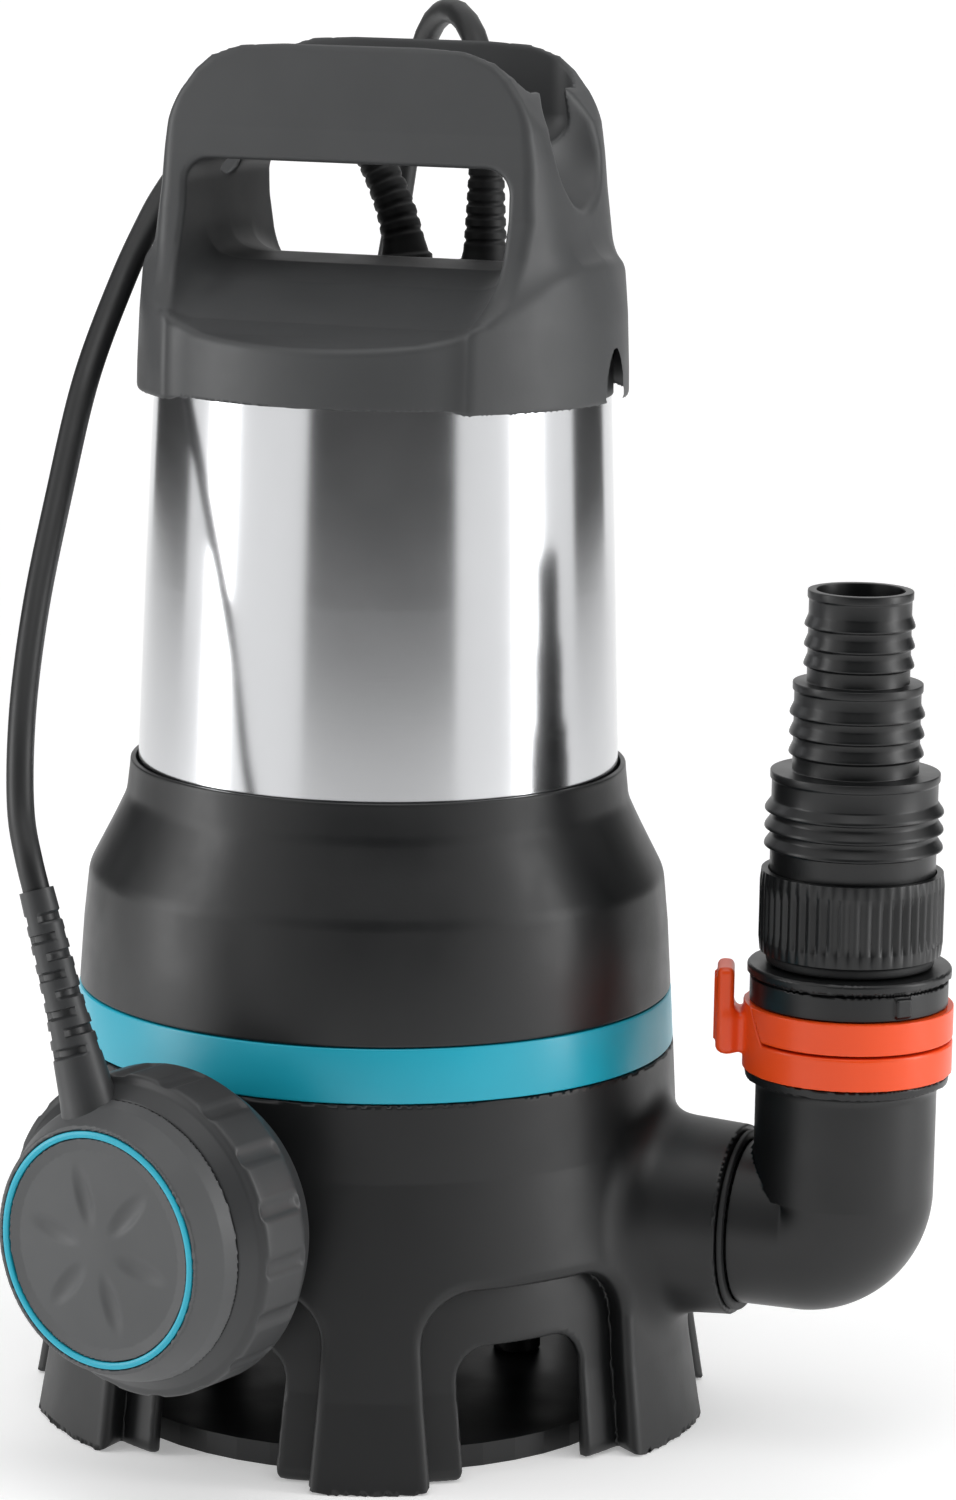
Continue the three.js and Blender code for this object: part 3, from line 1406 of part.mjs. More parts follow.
add("shaft", shaftBody(), finish.plainSteel);
add("rotor_core", rotorCore(), finish.laminatedSteel);
add("stator_core", statorCore(), finish.laminatedSteel);
add("winding_upper", windingRing(stator.top + GAP), finish.copper);
add("winding_lower", windingRing(stator.bottom - GAP - winding.height), finish.copper);
add("bearing_upper", bearingRing(upperBearingBottom), finish.plainSteel);
add("bearing_lower", bearingRing(lowerBearingBottom), finish.plainSteel);
add("bearing_shield_upper", upperBearingShield(), finish.castAluminium);
add("bearing_shield_lower", lowerBearingShield(), finish.castAluminium);
add("oil_chamber_cover", oilChamberCover(), finish.housingPlastic);
add("seal_fixed", ring(shaft.radius + GAP * 2, staticSeal.radius, oilCoverBottom + 1, oilCoverBottom + 1 + staticSeal.height), finish.ceramic);
add("seal_turning", ring(shaft.radius + GAP, turningSeal.radius, oilCoverBottom + 1 - GAP - turningSeal.height, oilCoverBottom + 1 - GAP), finish.rubber);
add("impeller", impellerBody(), finish.housingPlastic);
add("impeller_nut", impellerNutBody(), finish.plainSteel);
anglesOf(tieBolt).forEach((angle, i) =>
  add(`tie_bolt_${i + 1}`, around(boltDown(tieBolt, tieBoltBottom, tieBoltTop), tieBolt.ring, angle), finish.plainSteel),
);
anglesOf(coverScrew).forEach((angle, i) =>
  add(`cover_screw_${i + 1}`, around(boltDown(coverScrew, coverScrewBottom, coverScrewTop), coverScrew.ring, angle), finish.plainSteel),
);
add(
  "capacitor",
  disc(capacitor.radius, -capacitor.length / 2, capacitor.length / 2, FACETS.small)
    .rotateY(Math.PI / 2)
    .translate(0, capacitor.offset, capacitor.height),
  finish.whitePlastic,
);
add(
  "terminal_block",
  box(
    [-terminalBlock.length / 2, terminalBlock.offset - terminalBlock.width / 2, terminalBlock.bottom],
    [terminalBlock.length / 2, terminalBlock.offset + terminalBlock.width / 2, terminalBlock.bottom + terminalBlock.height],
  ),
  finish.whitePlastic,
);

add("outlet_ring", outletRingBody(), finish.rubber);
add("outlet_elbow", outletElbow(), finish.casingPlastic);
const coupling = new THREE.Group();
coupling.position.set(elbow.axisDistance, 0, 0);
coupling.add(
  piece("lock_ring", lockRingBody(), finish.orangePlastic),
  piece("lock_sleeve", lockSplit(GAP), finish.orangePlastic),
  piece("coupling_collar", couplingCollar(), finish.casingPlastic),
  piece("hose_gasket", hoseGasket(), finish.rubber),
  piece("grip_nut", gripNut(), finish.casingPlastic),
  piece("hose_nozzle", hoseNozzle(), finish.casingPlastic),
);
pump.add(coupling);

const floatSwitchGroup = floatPieces();
pump.add(floatSwitchGroup);
add("power_sleeve", straightSleeve(powerExit, powerSleeveTop), finish.rubber);
add("float_sleeve", curvedSleeve(), finish.rubber);
add("power_cable", cableBody(powerRoute), finish.rubber);
add("float_cable_fixed", hingedCable(floatFixedRoute, false), finish.rubber);
add("float_cable", hingedCable(swingRoute(floatSwitchGroup), true), finish.rubber);
pump.add(coilGroup());

export default pump;
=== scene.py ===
"""Looks of a submersible dirty-water pump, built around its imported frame.

Sizes are in millimetres in the frame of the pump: +Z up the motor's axis, +X along the outlet stub.
They become metres when a mesh is made.
"""

import json
import logging
import math
from collections.abc import Callable, Sequence
from dataclasses import dataclass, field
from enum import Enum
from typing import Any

import bpy
import numpy as np
from mathutils import Matrix, Quaternion, Vector

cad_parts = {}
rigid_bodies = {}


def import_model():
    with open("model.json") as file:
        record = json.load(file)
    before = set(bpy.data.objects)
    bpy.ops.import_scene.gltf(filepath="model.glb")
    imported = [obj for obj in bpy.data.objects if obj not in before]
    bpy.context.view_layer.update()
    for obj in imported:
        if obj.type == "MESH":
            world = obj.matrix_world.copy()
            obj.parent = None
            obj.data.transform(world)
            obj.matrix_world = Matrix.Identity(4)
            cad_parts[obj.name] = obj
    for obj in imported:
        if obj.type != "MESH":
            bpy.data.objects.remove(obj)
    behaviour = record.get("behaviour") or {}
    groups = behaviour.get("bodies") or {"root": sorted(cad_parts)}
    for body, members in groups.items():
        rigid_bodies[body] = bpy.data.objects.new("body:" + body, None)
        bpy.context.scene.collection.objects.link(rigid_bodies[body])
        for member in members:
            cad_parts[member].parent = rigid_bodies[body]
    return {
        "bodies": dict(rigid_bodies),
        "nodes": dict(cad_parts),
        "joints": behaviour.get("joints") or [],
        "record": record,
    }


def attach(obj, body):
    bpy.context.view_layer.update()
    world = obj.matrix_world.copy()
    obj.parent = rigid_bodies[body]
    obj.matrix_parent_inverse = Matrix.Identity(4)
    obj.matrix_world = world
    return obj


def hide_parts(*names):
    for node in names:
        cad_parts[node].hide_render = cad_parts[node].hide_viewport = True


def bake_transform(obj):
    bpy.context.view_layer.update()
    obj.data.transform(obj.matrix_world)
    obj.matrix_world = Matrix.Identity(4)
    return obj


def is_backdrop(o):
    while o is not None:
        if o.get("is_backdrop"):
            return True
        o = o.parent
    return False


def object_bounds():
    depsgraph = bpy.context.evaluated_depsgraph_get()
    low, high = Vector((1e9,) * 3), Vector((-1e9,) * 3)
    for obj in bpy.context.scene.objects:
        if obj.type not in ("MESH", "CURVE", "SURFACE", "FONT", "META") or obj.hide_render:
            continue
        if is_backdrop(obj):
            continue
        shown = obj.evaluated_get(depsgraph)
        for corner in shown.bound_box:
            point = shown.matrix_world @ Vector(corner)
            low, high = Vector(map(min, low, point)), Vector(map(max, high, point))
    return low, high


LOG = logging.getLogger("pump")
MM = 0.001

Points = np.ndarray
Distance = Callable[[Points], np.ndarray]
Outline = list[tuple[float, float]]


# ---------------------------------------------------------------- finishes


def srgb(code: str, alpha: float = 1.0) -> tuple[float, float, float, float]:
    """Turns a display colour into the linear one that shaders use.

    Args:
        code: The colour as six hex digits.
        alpha: Its opacity.

    Returns:
        Linear red, green, blue and the opacity.
    """
    channels = [int(code[i : i + 2], 16) / 255 for i in (0, 2, 4)]
    linear = [c / 12.92 if c <= 0.04045 else ((c + 0.055) / 1.055) ** 2.4 for c in channels]
    return (*linear, alpha)


def add_node(
    tree: bpy.types.NodeTree,
    kind: str,
    values: dict[str | int, Any] | None = None,
    links: dict[str | int, bpy.types.NodeSocket] | None = None,
    **settings: Any,
) -> bpy.types.Node:
    """Adds one node to a material.

    Args:
        tree: The material's node tree.
        kind: The node's type name.
        values: Socket name or number to its constant.
        links: Socket name or number to the output that feeds it.
        settings: The node's own properties.

    Returns:
        The new node.
    """
    node = tree.nodes.new(kind)
    for name, value in settings.items():
        setattr(node, name, value)
    for socket, value in (values or {}).items():
        node.inputs[socket].default_value = value
    for socket, source in (links or {}).items():
        tree.links.new(source, node.inputs[socket])
    return node


@dataclass(frozen=True)
class Finish:
    """A finish as its maker would order it: what it is, its colour, and the size of its surface pattern."""

    name: str
    slot: str
    colour: str
    roughness: float = 0.5
    metallic: float = 0.0
    ior: float = 1.49
    grain_mm: float = 0.9
    grain_depth_mm: float = 0.02
    mottle_mm: float = 28.0
    mottle: float = 0.06
    roughness_spread: float = 0.05
    # How much paler convex edges are drawn: a painted edge highlight.
    painted_edge_highlight: float = 0.12
    extra: dict[str, float] = field(default_factory=dict)

    def build(self) -> bpy.types.Material:
        """Makes the material, or gives the one already made.

        Returns:
            The Blender material.
        """
        made = bpy.data.materials.get(self.name)
        if made:
            return made
        material = bpy.data.materials.new(self.name)
        material.use_nodes = True
        tree = material.node_tree
        tree.nodes.clear()
        place = add_node(tree, "ShaderNodeTexCoord").outputs["Object"]
        constants = {"Metallic": self.metallic, **self.extra}
        if not self.metallic:
            constants["IOR"] = self.ior
        shader = add_node(tree, "ShaderNodeBsdfPrincipled", constants)
        tree.links.new(self.tint(tree, place), shader.inputs["Base Color"])
        tree.links.new(self.gloss(tree, place), shader.inputs["Roughness"])
        tree.links.new(self.relief(tree, place), shader.inputs["Normal"])
        add_node(tree, "ShaderNodeOutputMaterial", links={"Surface": shader.outputs["BSDF"]})
        material.diffuse_color = srgb(self.colour)
        return material

    def tint(self, tree: bpy.types.NodeTree, place: bpy.types.NodeSocket) -> bpy.types.NodeSocket:
        """Colour with a slow mottle, and a painted highlight that makes convex edges slightly paler.

        Args:
            tree: The material's node tree.
            place: The surface's own coordinates.

        Returns:
            The colour output.
        """
        cloud = add_node(
            tree,
            "ShaderNodeTexNoise",
            {"Scale": 1 / (self.mottle_mm * MM), "Detail": 3.0, "Roughness": 0.55},
            {"Vector": place},
        )
        swing = add_node(
            tree,
            "ShaderNodeMapRange",
            {"From Min": 0.3, "From Max": 0.7, "To Min": 1 - self.mottle, "To Max": 1 + self.mottle},
            {"Value": cloud.outputs["Fac"]},
        )
        body = add_node(
            tree,
            "ShaderNodeHueSaturation",
            {"Color": srgb(self.colour)},
            {"Value": swing.outputs["Result"]},
        )
        # Painted highlight: convex edges, found by their pointiness, are drawn paler.
        edge = add_node(tree, "ShaderNodeNewGeometry").outputs["Pointiness"]
        edge_highlight_share = add_node(
            tree,
            "ShaderNodeMapRange",
            {"From Min": 0.53, "From Max": 0.62, "To Min": 0.0, "To Max": self.painted_edge_highlight},
            {"Value": edge},
        )
        paler = add_node(
            tree,
            "ShaderNodeMix",
            links={"Factor": edge_highlight_share.outputs["Result"]},
            data_type="RGBA",
        )
        tree.links.new(body.outputs["Color"], paler.inputs[6])
        pale = add_node(
            tree, "ShaderNodeHueSaturation", {"Value": 1.9}, {"Color": body.outputs["Color"]}
        )
        tree.links.new(pale.outputs["Color"], paler.inputs[7])
        return paler.outputs[2]

    def gloss(self, tree: bpy.types.NodeTree, place: bpy.types.NodeSocket) -> bpy.types.NodeSocket:
        """Roughness that drifts a little over the surface.

        Args:
            tree: The material's node tree.
            place: The surface's own coordinates.

        Returns:
            The roughness output.
        """
        cloud = add_node(
            tree,
            "ShaderNodeTexNoise",
            {"Scale": 1.7 / (self.mottle_mm * MM), "Detail": 4.0},
            {"Vector": place},
        )
        swing = add_node(
            tree,
            "ShaderNodeMapRange",
            {
                "From Min": 0.3,
                "From Max": 0.7,
                "To Min": max(0.02, self.roughness - self.roughness_spread),
                "To Max": self.roughness + self.roughness_spread,
            },
            {"Value": cloud.outputs["Fac"]},
        )
        return swing.outputs["Result"]

    def relief(self, tree: bpy.types.NodeTree, place: bpy.types.NodeSocket) -> bpy.types.NodeSocket:
        """Fine grain of the moulding tool.

        Args:
            tree: The material's node tree.
            place: The surface's own coordinates.

        Returns:
            The normal output.
        """
        grain = add_node(
            tree,
            "ShaderNodeTexNoise",
            {"Scale": 1 / (self.grain_mm * MM), "Detail": 2.0, "Roughness": 0.6},
            {"Vector": place},
        )
        bump = add_node(
            tree,
            "ShaderNodeBump",
            {"Strength": 1.0, "Distance": self.grain_depth_mm * MM},
            {"Height": grain.outputs["Fac"]},
        )
        return bump.outputs["Normal"]


@dataclass(frozen=True)
class PolishedStainless(Finish):
    """Deep-drawn stainless tube, polished on a lathe: mirror-like, with hair-fine lines running round it."""

    line_mm: float = 0.35
    line_depth_mm: float = 0.0012

    def tint(self, tree: bpy.types.NodeTree, place: bpy.types.NodeSocket) -> bpy.types.NodeSocket:
        """Bare metal colour with faint bands of handling haze.

        Args:
            tree: The material's node tree.
            place: The surface's own coordinates.

        Returns:
            The colour output.
        """
        haze = add_node(
            tree,
            "ShaderNodeTexNoise",
            {"Scale": 1 / (self.mottle_mm * MM), "Detail": 4.0},
            {"Vector": place},
        )
        ramp = add_node(tree, "ShaderNodeValToRGB", links={"Fac": haze.outputs["Fac"]})
        ramp.color_ramp.elements[0].position = 0.3
        ramp.color_ramp.elements[0].color = tuple(c * 0.95 for c in srgb(self.colour)[:3]) + (1.0,)
        ramp.color_ramp.elements[1].position = 0.7
        ramp.color_ramp.elements[1].color = srgb(self.colour)
        return ramp.outputs["Color"]

    def relief(self, tree: bpy.types.NodeTree, place: bpy.types.NodeSocket) -> bpy.types.NodeSocket:
        """Polishing lines, long round the tube and very short along it.

        Args:
            tree: The material's node tree.
            place: The surface's own coordinates.

        Returns:
            The normal output.
        """
        squeezed = add_node(
            tree,
            "ShaderNodeMapping",
            {"Scale": (6.0, 6.0, 1 / (self.line_mm * MM))},
            {"Vector": place},
        )
        lines = add_node(
            tree,
            "ShaderNodeTexNoise",
            {"Scale": 1.0, "Detail": 3.0},
            {"Vector": squeezed.outputs["Vector"]},
        )
        bump = add_node(
            tree,
            "ShaderNodeBump",
            {"Strength": 1.0, "Distance": self.line_depth_mm * MM},
            {"Height": lines.outputs["Fac"]},
        )
        return bump.outputs["Normal"]


# Glass-filled polypropylene, spark-eroded tool: charcoal with a soft broad highlight. The real grain is
# about 0.2 mm; it is drawn coarser so that it shows.
CASING_PLASTIC = Finish(
    "moulded_polypropylene_casing", "casing_plastic", "111213", 0.42, grain_mm=0.8, grain_depth_mm=0.014
)
HOUSING_PLASTIC = Finish(
    "moulded_polypropylene_housing", "housing_plastic", "141516", 0.4, grain_mm=0.8, grain_depth_mm=0.014
)
# Satin polyamide of the handle: a lighter grey that feels dry, so its highlight is wide.
CAP_PLASTIC = Finish(
    "moulded_polyamide_handle", "cap_plastic", "3f4041", 0.5, grain_mm=0.9, grain_depth_mm=0.02
)
# Coloured ABS band: even, slightly glossy.
TEAL_ABS = Finish(
    "moulded_abs_teal", "accent_plastic", "18a5bd", 0.34, grain_mm=1.4, grain_depth_mm=0.006, mottle=0.03,
    painted_edge_highlight=0.05
)
# Acetal of the locking ring: waxy, saturated orange.
ORANGE_ACETAL = Finish(
    "moulded_acetal_orange",
    "orange_plastic",
    "f04e14",
    0.33,
    grain_mm=1.2,
    grain_depth_mm=0.008,
    mottle=0.03,
    painted_edge_highlight=0.04,
)
# The float's shells: softer grey, finely eroded.
FLOAT_PLASTIC = Finish(
    "moulded_polypropylene_float", "float_plastic", "343536", 0.44, grain_mm=0.8, grain_depth_mm=0.016
)
FLOAT_FACE = Finish(
    "moulded_polypropylene_float_face", "float_plastic", "4a4b4c", 0.5, grain_mm=0.8, grain_depth_mm=0.01
)
# Hose fittings: black polypropylene, a little shinier on its turned barbs.
FITTING_PLASTIC = Finish(
    "moulded_polypropylene_fitting", "casing_plastic", "0f1011", 0.36, grain_mm=1.0, grain_depth_mm=0.008
)
# Neoprene cable sheath: dull black with a slight drag pattern.
SHEATH_RUBBER = Finish(
    "neoprene_cable_sheath", "cable_rubber", "191a1b", 0.46, grain_mm=1.6, grain_depth_mm=0.03, mottle=0.1,
    painted_edge_highlight=0.0
)
SEAL_RUBBER = Finish(
    "moulded_nitrile_rubber", "rubber", "191a1b", 0.58, grain_mm=1.1, grain_depth_mm=0.02, painted_edge_highlight=0.0
)
POLISHED_TUBE = PolishedStainless(
    "polished_stainless_tube", "polished_steel", "d3d4d6", 0.16, 1.0, mottle_mm=60.0, roughness_spread=0.015,
    painted_edge_highlight=0.0
)
PLAIN_STEEL = PolishedStainless(
    "turned_steel", "plain_steel", "9a9c9f", 0.32, 1.0, mottle_mm=12.0, roughness_spread=0.06,
    line_depth_mm=0.002
)
NICKELLED_BRASS = PolishedStainless(
    "nickelled_brass_pin", "plain_steel", "c9c6bd", 0.2, 1.0, mottle_mm=8.0, roughness_spread=0.04,
    line_depth_mm=0.001
)
LAMINATED_STEEL = PolishedStainless(
    "stacked_lamination_steel", "laminated_steel", "6b6e72", 0.45, 1.0, mottle_mm=10.0, line_mm=0.5,
    line_depth_mm=0.01
)
CAST_ALUMINIUM = Finish(
    "die_cast_aluminium", "cast_aluminium", "a7a9ab", 0.48, 1.0, grain_mm=1.2, grain_depth_mm=0.04,
    painted_edge_highlight=0.0
)
COPPER_WINDING = PolishedStainless(
    "varnished_copper_winding", "copper", "a9582e", 0.38, 1.0, mottle_mm=6.0, line_mm=0.8, line_depth_mm=0.05
)
SEAL_CERAMIC = Finish("sintered_seal_ceramic", "ceramic", "d9d4c8", 0.35, grain_mm=1.5, grain_depth_mm=0.004)
WHITE_PLASTIC = Finish(
    "moulded_pbt_white", "white_plastic", "d6d6d2", 0.45, grain_mm=1.2, grain_depth_mm=0.01
)


# ---------------------------------------------------------------- solid shapes as distances


def near_polygon(x: np.ndarray, y: np.ndarray, outline: Outline) -> np.ndarray:
    """Signed distance from points of a plane to a closed outline, negative inside.

    Args:
        x: First coordinates.
        y: Second coordinates.
        outline: The corners, in order.

    Returns:
        One distance per point.
    """
    nearest = np.full(x.shape, np.inf, np.float32)
    inside = np.zeros(x.shape, bool)
    for (ax, ay), (bx, by) in zip(outline, outline[1:] + outline[:1], strict=True):
        ex, ey = bx - ax, by - ay
        length = ex * ex + ey * ey
        if length < 1e-12:
            continue
        wx, wy = x - ax, y - ay
        share = np.clip((wx * ex + wy * ey) / length, 0, 1)
        dx, dy = wx - share * ex, wy - share * ey
        np.minimum(nearest, dx * dx + dy * dy, out=nearest)
        crosses = (ay > y) != (by > y)
        if ey:
            inside ^= crosses & (x < ex * (y - ay) / ey + ax)
    distance = np.sqrt(nearest)
    return np.where(inside, -distance, distance)


def blend_min(a: np.ndarray, b: np.ndarray, size: float) -> np.ndarray:
    """Joins two solids with a fillet.

    Args:
        a: Distances to the first.
        b: Distances to the second.
        size: The fillet's reach.

    Returns:
        Distances to both together.
    """
    if size <= 0:
        return np.minimum(a, b)
    h = np.maximum(size - np.abs(a - b), 0) / size
    return np.minimum(a, b) - h * h * size * 0.25


def blend_max(a: np.ndarray, b: np.ndarray, size: float) -> np.ndarray:
    """Keeps what two solids share, with a rounded edge.

    Args:
        a: Distances to the first.
        b: Distances to the second.
        size: The rounding's reach.

    Returns:
        Distances to what they share.
    """
    return -blend_min(-a, -b, size)


def carve(body: np.ndarray, tool: np.ndarray, size: float) -> np.ndarray:
    """Cuts one solid from another with a rounded edge.

    Args:
        body: Distances to the solid.
        tool: Distances to what is cut away.
        size: The rounding's reach.

    Returns:
        Distances to what is left.
    """
    return blend_max(body, -tool, size)


def radius_of(p: Points) -> np.ndarray:
    """Distance of each point from the Z axis."""
    return np.hypot(p[:, 0], p[:, 1])


def turned(p: Points, outline: Outline) -> np.ndarray:
    """Distances to a body turned about Z, whose outline gives radius and height."""
    return near_polygon(radius_of(p), p[:, 2], outline)


def rod(p: Points, start: Sequence[float], end: Sequence[float], radius: float) -> np.ndarray:
    """Distances to a round rod with flat ends.

    Args:
        p: The points.
        start: Centre of one end.
        end: Centre of the other.
        radius: The rod's radius.

    Returns:
        One distance per point.
    """
    a, b = np.array(start, np.float32), np.array(end, np.float32)
    length = float(np.linalg.norm(b - a))
    way = (b - a) / length
    along = (p - a) @ way
    across = np.linalg.norm(p - a - along[:, None] * way, axis=1)
    dx, dy = across - radius, np.abs(along - length / 2) - length / 2
    outside = np.hypot(np.maximum(dx, 0), np.maximum(dy, 0))
    return outside + np.minimum(np.maximum(dx, dy), 0)


def block(p: Points, centre: Sequence[float], half: Sequence[float], corner: float = 0.0) -> np.ndarray:
    """Distances to a box with rounded edges.

    Args:
        p: The points.
        centre: The box's centre.
        half: Its half sizes.
        corner: The edges' radius.

    Returns:
        One distance per point.
    """
    q = np.abs(p - np.array(centre, np.float32)) - np.array(half, np.float32) + corner
    outside = np.linalg.norm(np.maximum(q, 0), axis=1)
    return outside + np.minimum(q.max(axis=1), 0) - corner


def turn_z(p: Points, degrees: float) -> Points:
    """Points as seen from a frame that is turned about Z by this angle."""
    c, s = math.cos(math.radians(degrees)), math.sin(math.radians(degrees))
    return np.stack([p[:, 0] * c + p[:, 1] * s, p[:, 1] * c - p[:, 0] * s, p[:, 2]], axis=1)


def spline(points: Sequence[Sequence[float]], count: int) -> np.ndarray:
    """A smooth curve through points, spaced evenly.

    Args:
        points: The points it passes.
        count: How many points to give.

    Returns:
        The points along the curve.
    """
    p = np.array(points, float)
    knots = np.concatenate([[0], np.cumsum(np.sqrt(np.linalg.norm(np.diff(p, axis=0), axis=1)))])
    ends = np.vstack([2 * p[0] - p[1], p, 2 * p[-1] - p[-2]])
    gaps = np.concatenate([[knots[1]], np.diff(knots), [knots[-1] - knots[-2]]])
    found = []
    for i in range(len(p) - 1):
        d0, d1, d2 = gaps[i], gaps[i + 1], gaps[i + 2]
        m1 = d1 * (
            (ends[i + 1] - ends[i]) / d0 - (ends[i + 2] - ends[i]) / (d0 + d1)
        ) + (ends[i + 2] - ends[i + 1])
        m2 = d1 * ((ends[i + 3] - ends[i + 2]) / d2 - (ends[i + 3] - ends[i + 1]) / (d1 + d2)) + (
            ends[i + 2] - ends[i + 1]
        )
        t = np.linspace(0, 1, 40, endpoint=False)[:, None]
        found.append(
            (2 * t**3 - 3 * t**2 + 1) * ends[i + 1]
            + (t**3 - 2 * t**2 + t) * m1
            + (3 * t**2 - 2 * t**3) * ends[i + 2]
            + (t**3 - t**2) * m2
        )
    dense = np.vstack([*found, p[-1:]])
    travelled = np.concatenate([[0], np.cumsum(np.linalg.norm(np.diff(dense, axis=0), axis=1))])
    wanted = np.linspace(0, travelled[-1], count)
    return np.stack([np.interp(wanted, travelled, dense[:, k]) for k in range(p.shape[1])], axis=1)


@dataclass(frozen=True)
class Mould:
    """Turns a solid given as distances into a smooth mesh whose normals follow the solid itself."""

    distance: Distance
    low: tuple[float, float, float]
    high: tuple[float, float, float]
    step: float
    slab: int = 24

    def sample(self) -> tuple[np.ndarray, np.ndarray]:
        """Measures the solid on a regular grid.

        Returns:
            The distances and the grid's origin.
        """
        low = np.array(self.low, np.float32) - self.step
        counts = np.ceil((np.array(self.high) + self.step - low) / self.step).astype(int) + 1
        axes = [low[k] + self.step * np.arange(counts[k], dtype=np.float32) for k in range(3)]
        values = np.empty(counts, np.float32)
        for i in range(0, counts[0], self.slab):
            part = np.stack(np.meshgrid(axes[0][i : i + self.slab], axes[1], axes[2], indexing="ij"), axis=-1)
            values[i : i + self.slab] = self.distance(part.reshape(-1, 3)).reshape(part.shape[:3])
        return values, low

    def net(self) -> tuple[np.ndarray, np.ndarray]:
        """Stretches a net of quads over the solid's skin.

        Returns:
            The vertices and the quads.
        """
        values, low = self.sample()
        inside = values < 0
        cells = tuple(n - 1 for n in values.shape)
        total, count = np.zeros((*cells, 3), np.float32), np.zeros(cells, np.float32)
        for axis in range(3):
            others = [k for k in range(3) if k != axis]
            for da in (0, 1):
                for db in (0, 1):
                    near = [slice(0, cells[k]) for k in range(3)]
                    near[others[0]] = slice(da, da + cells[others[0]])
                    near[others[1]] = slice(db, db + cells[others[1]])
                    far = list(near)
                    far[axis] = slice(1, cells[axis] + 1)
                    a, b = values[tuple(near)], values[tuple(far)]
                    crossed = inside[tuple(near)] != inside[tuple(far)]
                    share = np.where(crossed, a / np.where(crossed, a - b, 1), 0)
                    total[..., axis] += share
                    total[..., others[0]] += crossed * da
                    total[..., others[1]] += crossed * db
                    count += crossed
        used = count > 0
        index = np.full(cells, -1, np.int64)
        index[used] = np.arange(int(used.sum()))
        corner = np.stack(np.nonzero(used), axis=1)
        points = low + self.step * (corner + total[used] / count[used][:, None])
        return points.astype(np.float32), self.quads(inside, index)

    @staticmethod
    def quads(inside: np.ndarray, index: np.ndarray) -> np.ndarray:
        """Joins the net's vertices round each grid edge that crosses the skin.

        Args:
            inside: Which grid points are in the solid.
            index: The vertex number of each cell.

        Returns:
            The quads as vertex numbers, facing out.
        """
        found = []
        for axis in range(3):
            b, c = (axis + 1) % 3, (axis + 2) % 3
            start = [slice(None)] * 3
            stop = [slice(None)] * 3
            start[axis], stop[axis] = slice(0, -1), slice(1, None)
            for k in (b, c):
                start[k] = stop[k] = slice(1, -1)
            here, there = inside[tuple(start)], inside[tuple(stop)]
            for leaves in (True, False):
                edge = np.nonzero((here & ~there) if leaves else (~here & there))
                at = [edge[0].copy(), edge[1].copy(), edge[2].copy()]
                at[b] += 1
                at[c] += 1
                ring = []
                for shift_b, shift_c in ((1, 1), (0, 1), (0, 0), (1, 0)):
                    cell = list(at)
                    cell[b] = at[b] - shift_b
                    cell[c] = at[c] - shift_c
                    ring.append(index[tuple(cell)])
                quad = np.stack(ring, axis=1)
                found.append(quad if leaves else quad[:, ::-1])
        return np.vstack(found)

    def slope(self, points: np.ndarray) -> np.ndarray:
        """The way out of the solid at each point."""
        reach = np.float32(self.step * 0.2)
        way = np.empty_like(points)
        for k in range(3):
            shift = np.zeros(3, np.float32)
            shift[k] = reach
            way[:, k] = self.distance(points + shift) - self.distance(points - shift)
        return way / (2 * reach)

    def mesh(self, name: str) -> bpy.types.Object:
        """Makes the piece.

        Args:
            name: The piece's name.

        Returns:
            The new object.
        """
        points, quads = self.net()
        for _ in range(3):
            value, way = self.distance(points), self.slope(points)
            move = (value / np.maximum((way**2).sum(axis=1), 0.2))[:, None] * way
            limit = self.step * 0.6
            points = points - np.clip(move, -limit, limit).astype(np.float32)
        way = self.slope(points)
        normals = way / np.maximum(np.linalg.norm(way, axis=1), 1e-6)[:, None]
        made = new_mesh(name, points, quads)
        made.data.normals_split_custom_set_from_vertices(normals.astype(float).tolist())
        return made


# ---------------------------------------------------------------- turned and swept shapes


def new_mesh(name: str, points: np.ndarray, faces: Sequence[Sequence[int]] | np.ndarray) -> bpy.types.Object:
    """Makes an object from points in millimetres, shaded smooth.

    Args:
        name: Its name.
        points: The vertices.
        faces: Vertex numbers of each face.

    Returns:
        The new object.
    """
    data = bpy.data.meshes.new(name)
    rows = faces.tolist() if isinstance(faces, np.ndarray) else faces
    data.from_pydata((np.asarray(points, float) * MM).tolist(), [], rows)
    data.validate()
    data.polygons.foreach_set("use_smooth", [True] * len(data.polygons))
    data.update()
    made = bpy.data.objects.new(name, data)
    bpy.context.scene.collection.objects.link(made)
    return made


def soften(outline: Outline, size: float | Sequence[float], steps: int = 4, closed: bool = False) -> Outline:
    """Rounds the corners of an outline.

    Args:
        outline: The corners, in order.
        size: How far back from each corner its rounding starts: one for all, or one each.
        steps: Points per rounding.
        closed: Whether the outline joins its own start.

    Returns:
        The rounded outline.
    """
    count = len(outline)
    sizes = [float(size)] * count if isinstance(size, (int, float)) else [float(s) for s in size]
    rounded: Outline = []
    for i, corner in enumerate(outline):
        is_end = not closed and i in (0, count - 1)
        here = np.array(corner, float)
        before, after = np.array(outline[i - 1], float), np.array(outline[(i + 1) % count], float)
        back, on = before - here, after - here
        room = min(np.linalg.norm(back), np.linalg.norm(on)) * 0.48
        reach = min(sizes[i], room)
        if is_end or reach < 1e-4:
            rounded.append((float(here[0]), float(here[1])))
            continue
        a = here + back / np.linalg.norm(back) * reach
        b = here + on / np.linalg.norm(on) * reach
        for t in np.linspace(0, 1, steps + 1):
            spot = (1 - t) ** 2 * a + 2 * t * (1 - t) * here + t**2 * b
            rounded.append((float(spot[0]), float(spot[1])))
    return rounded


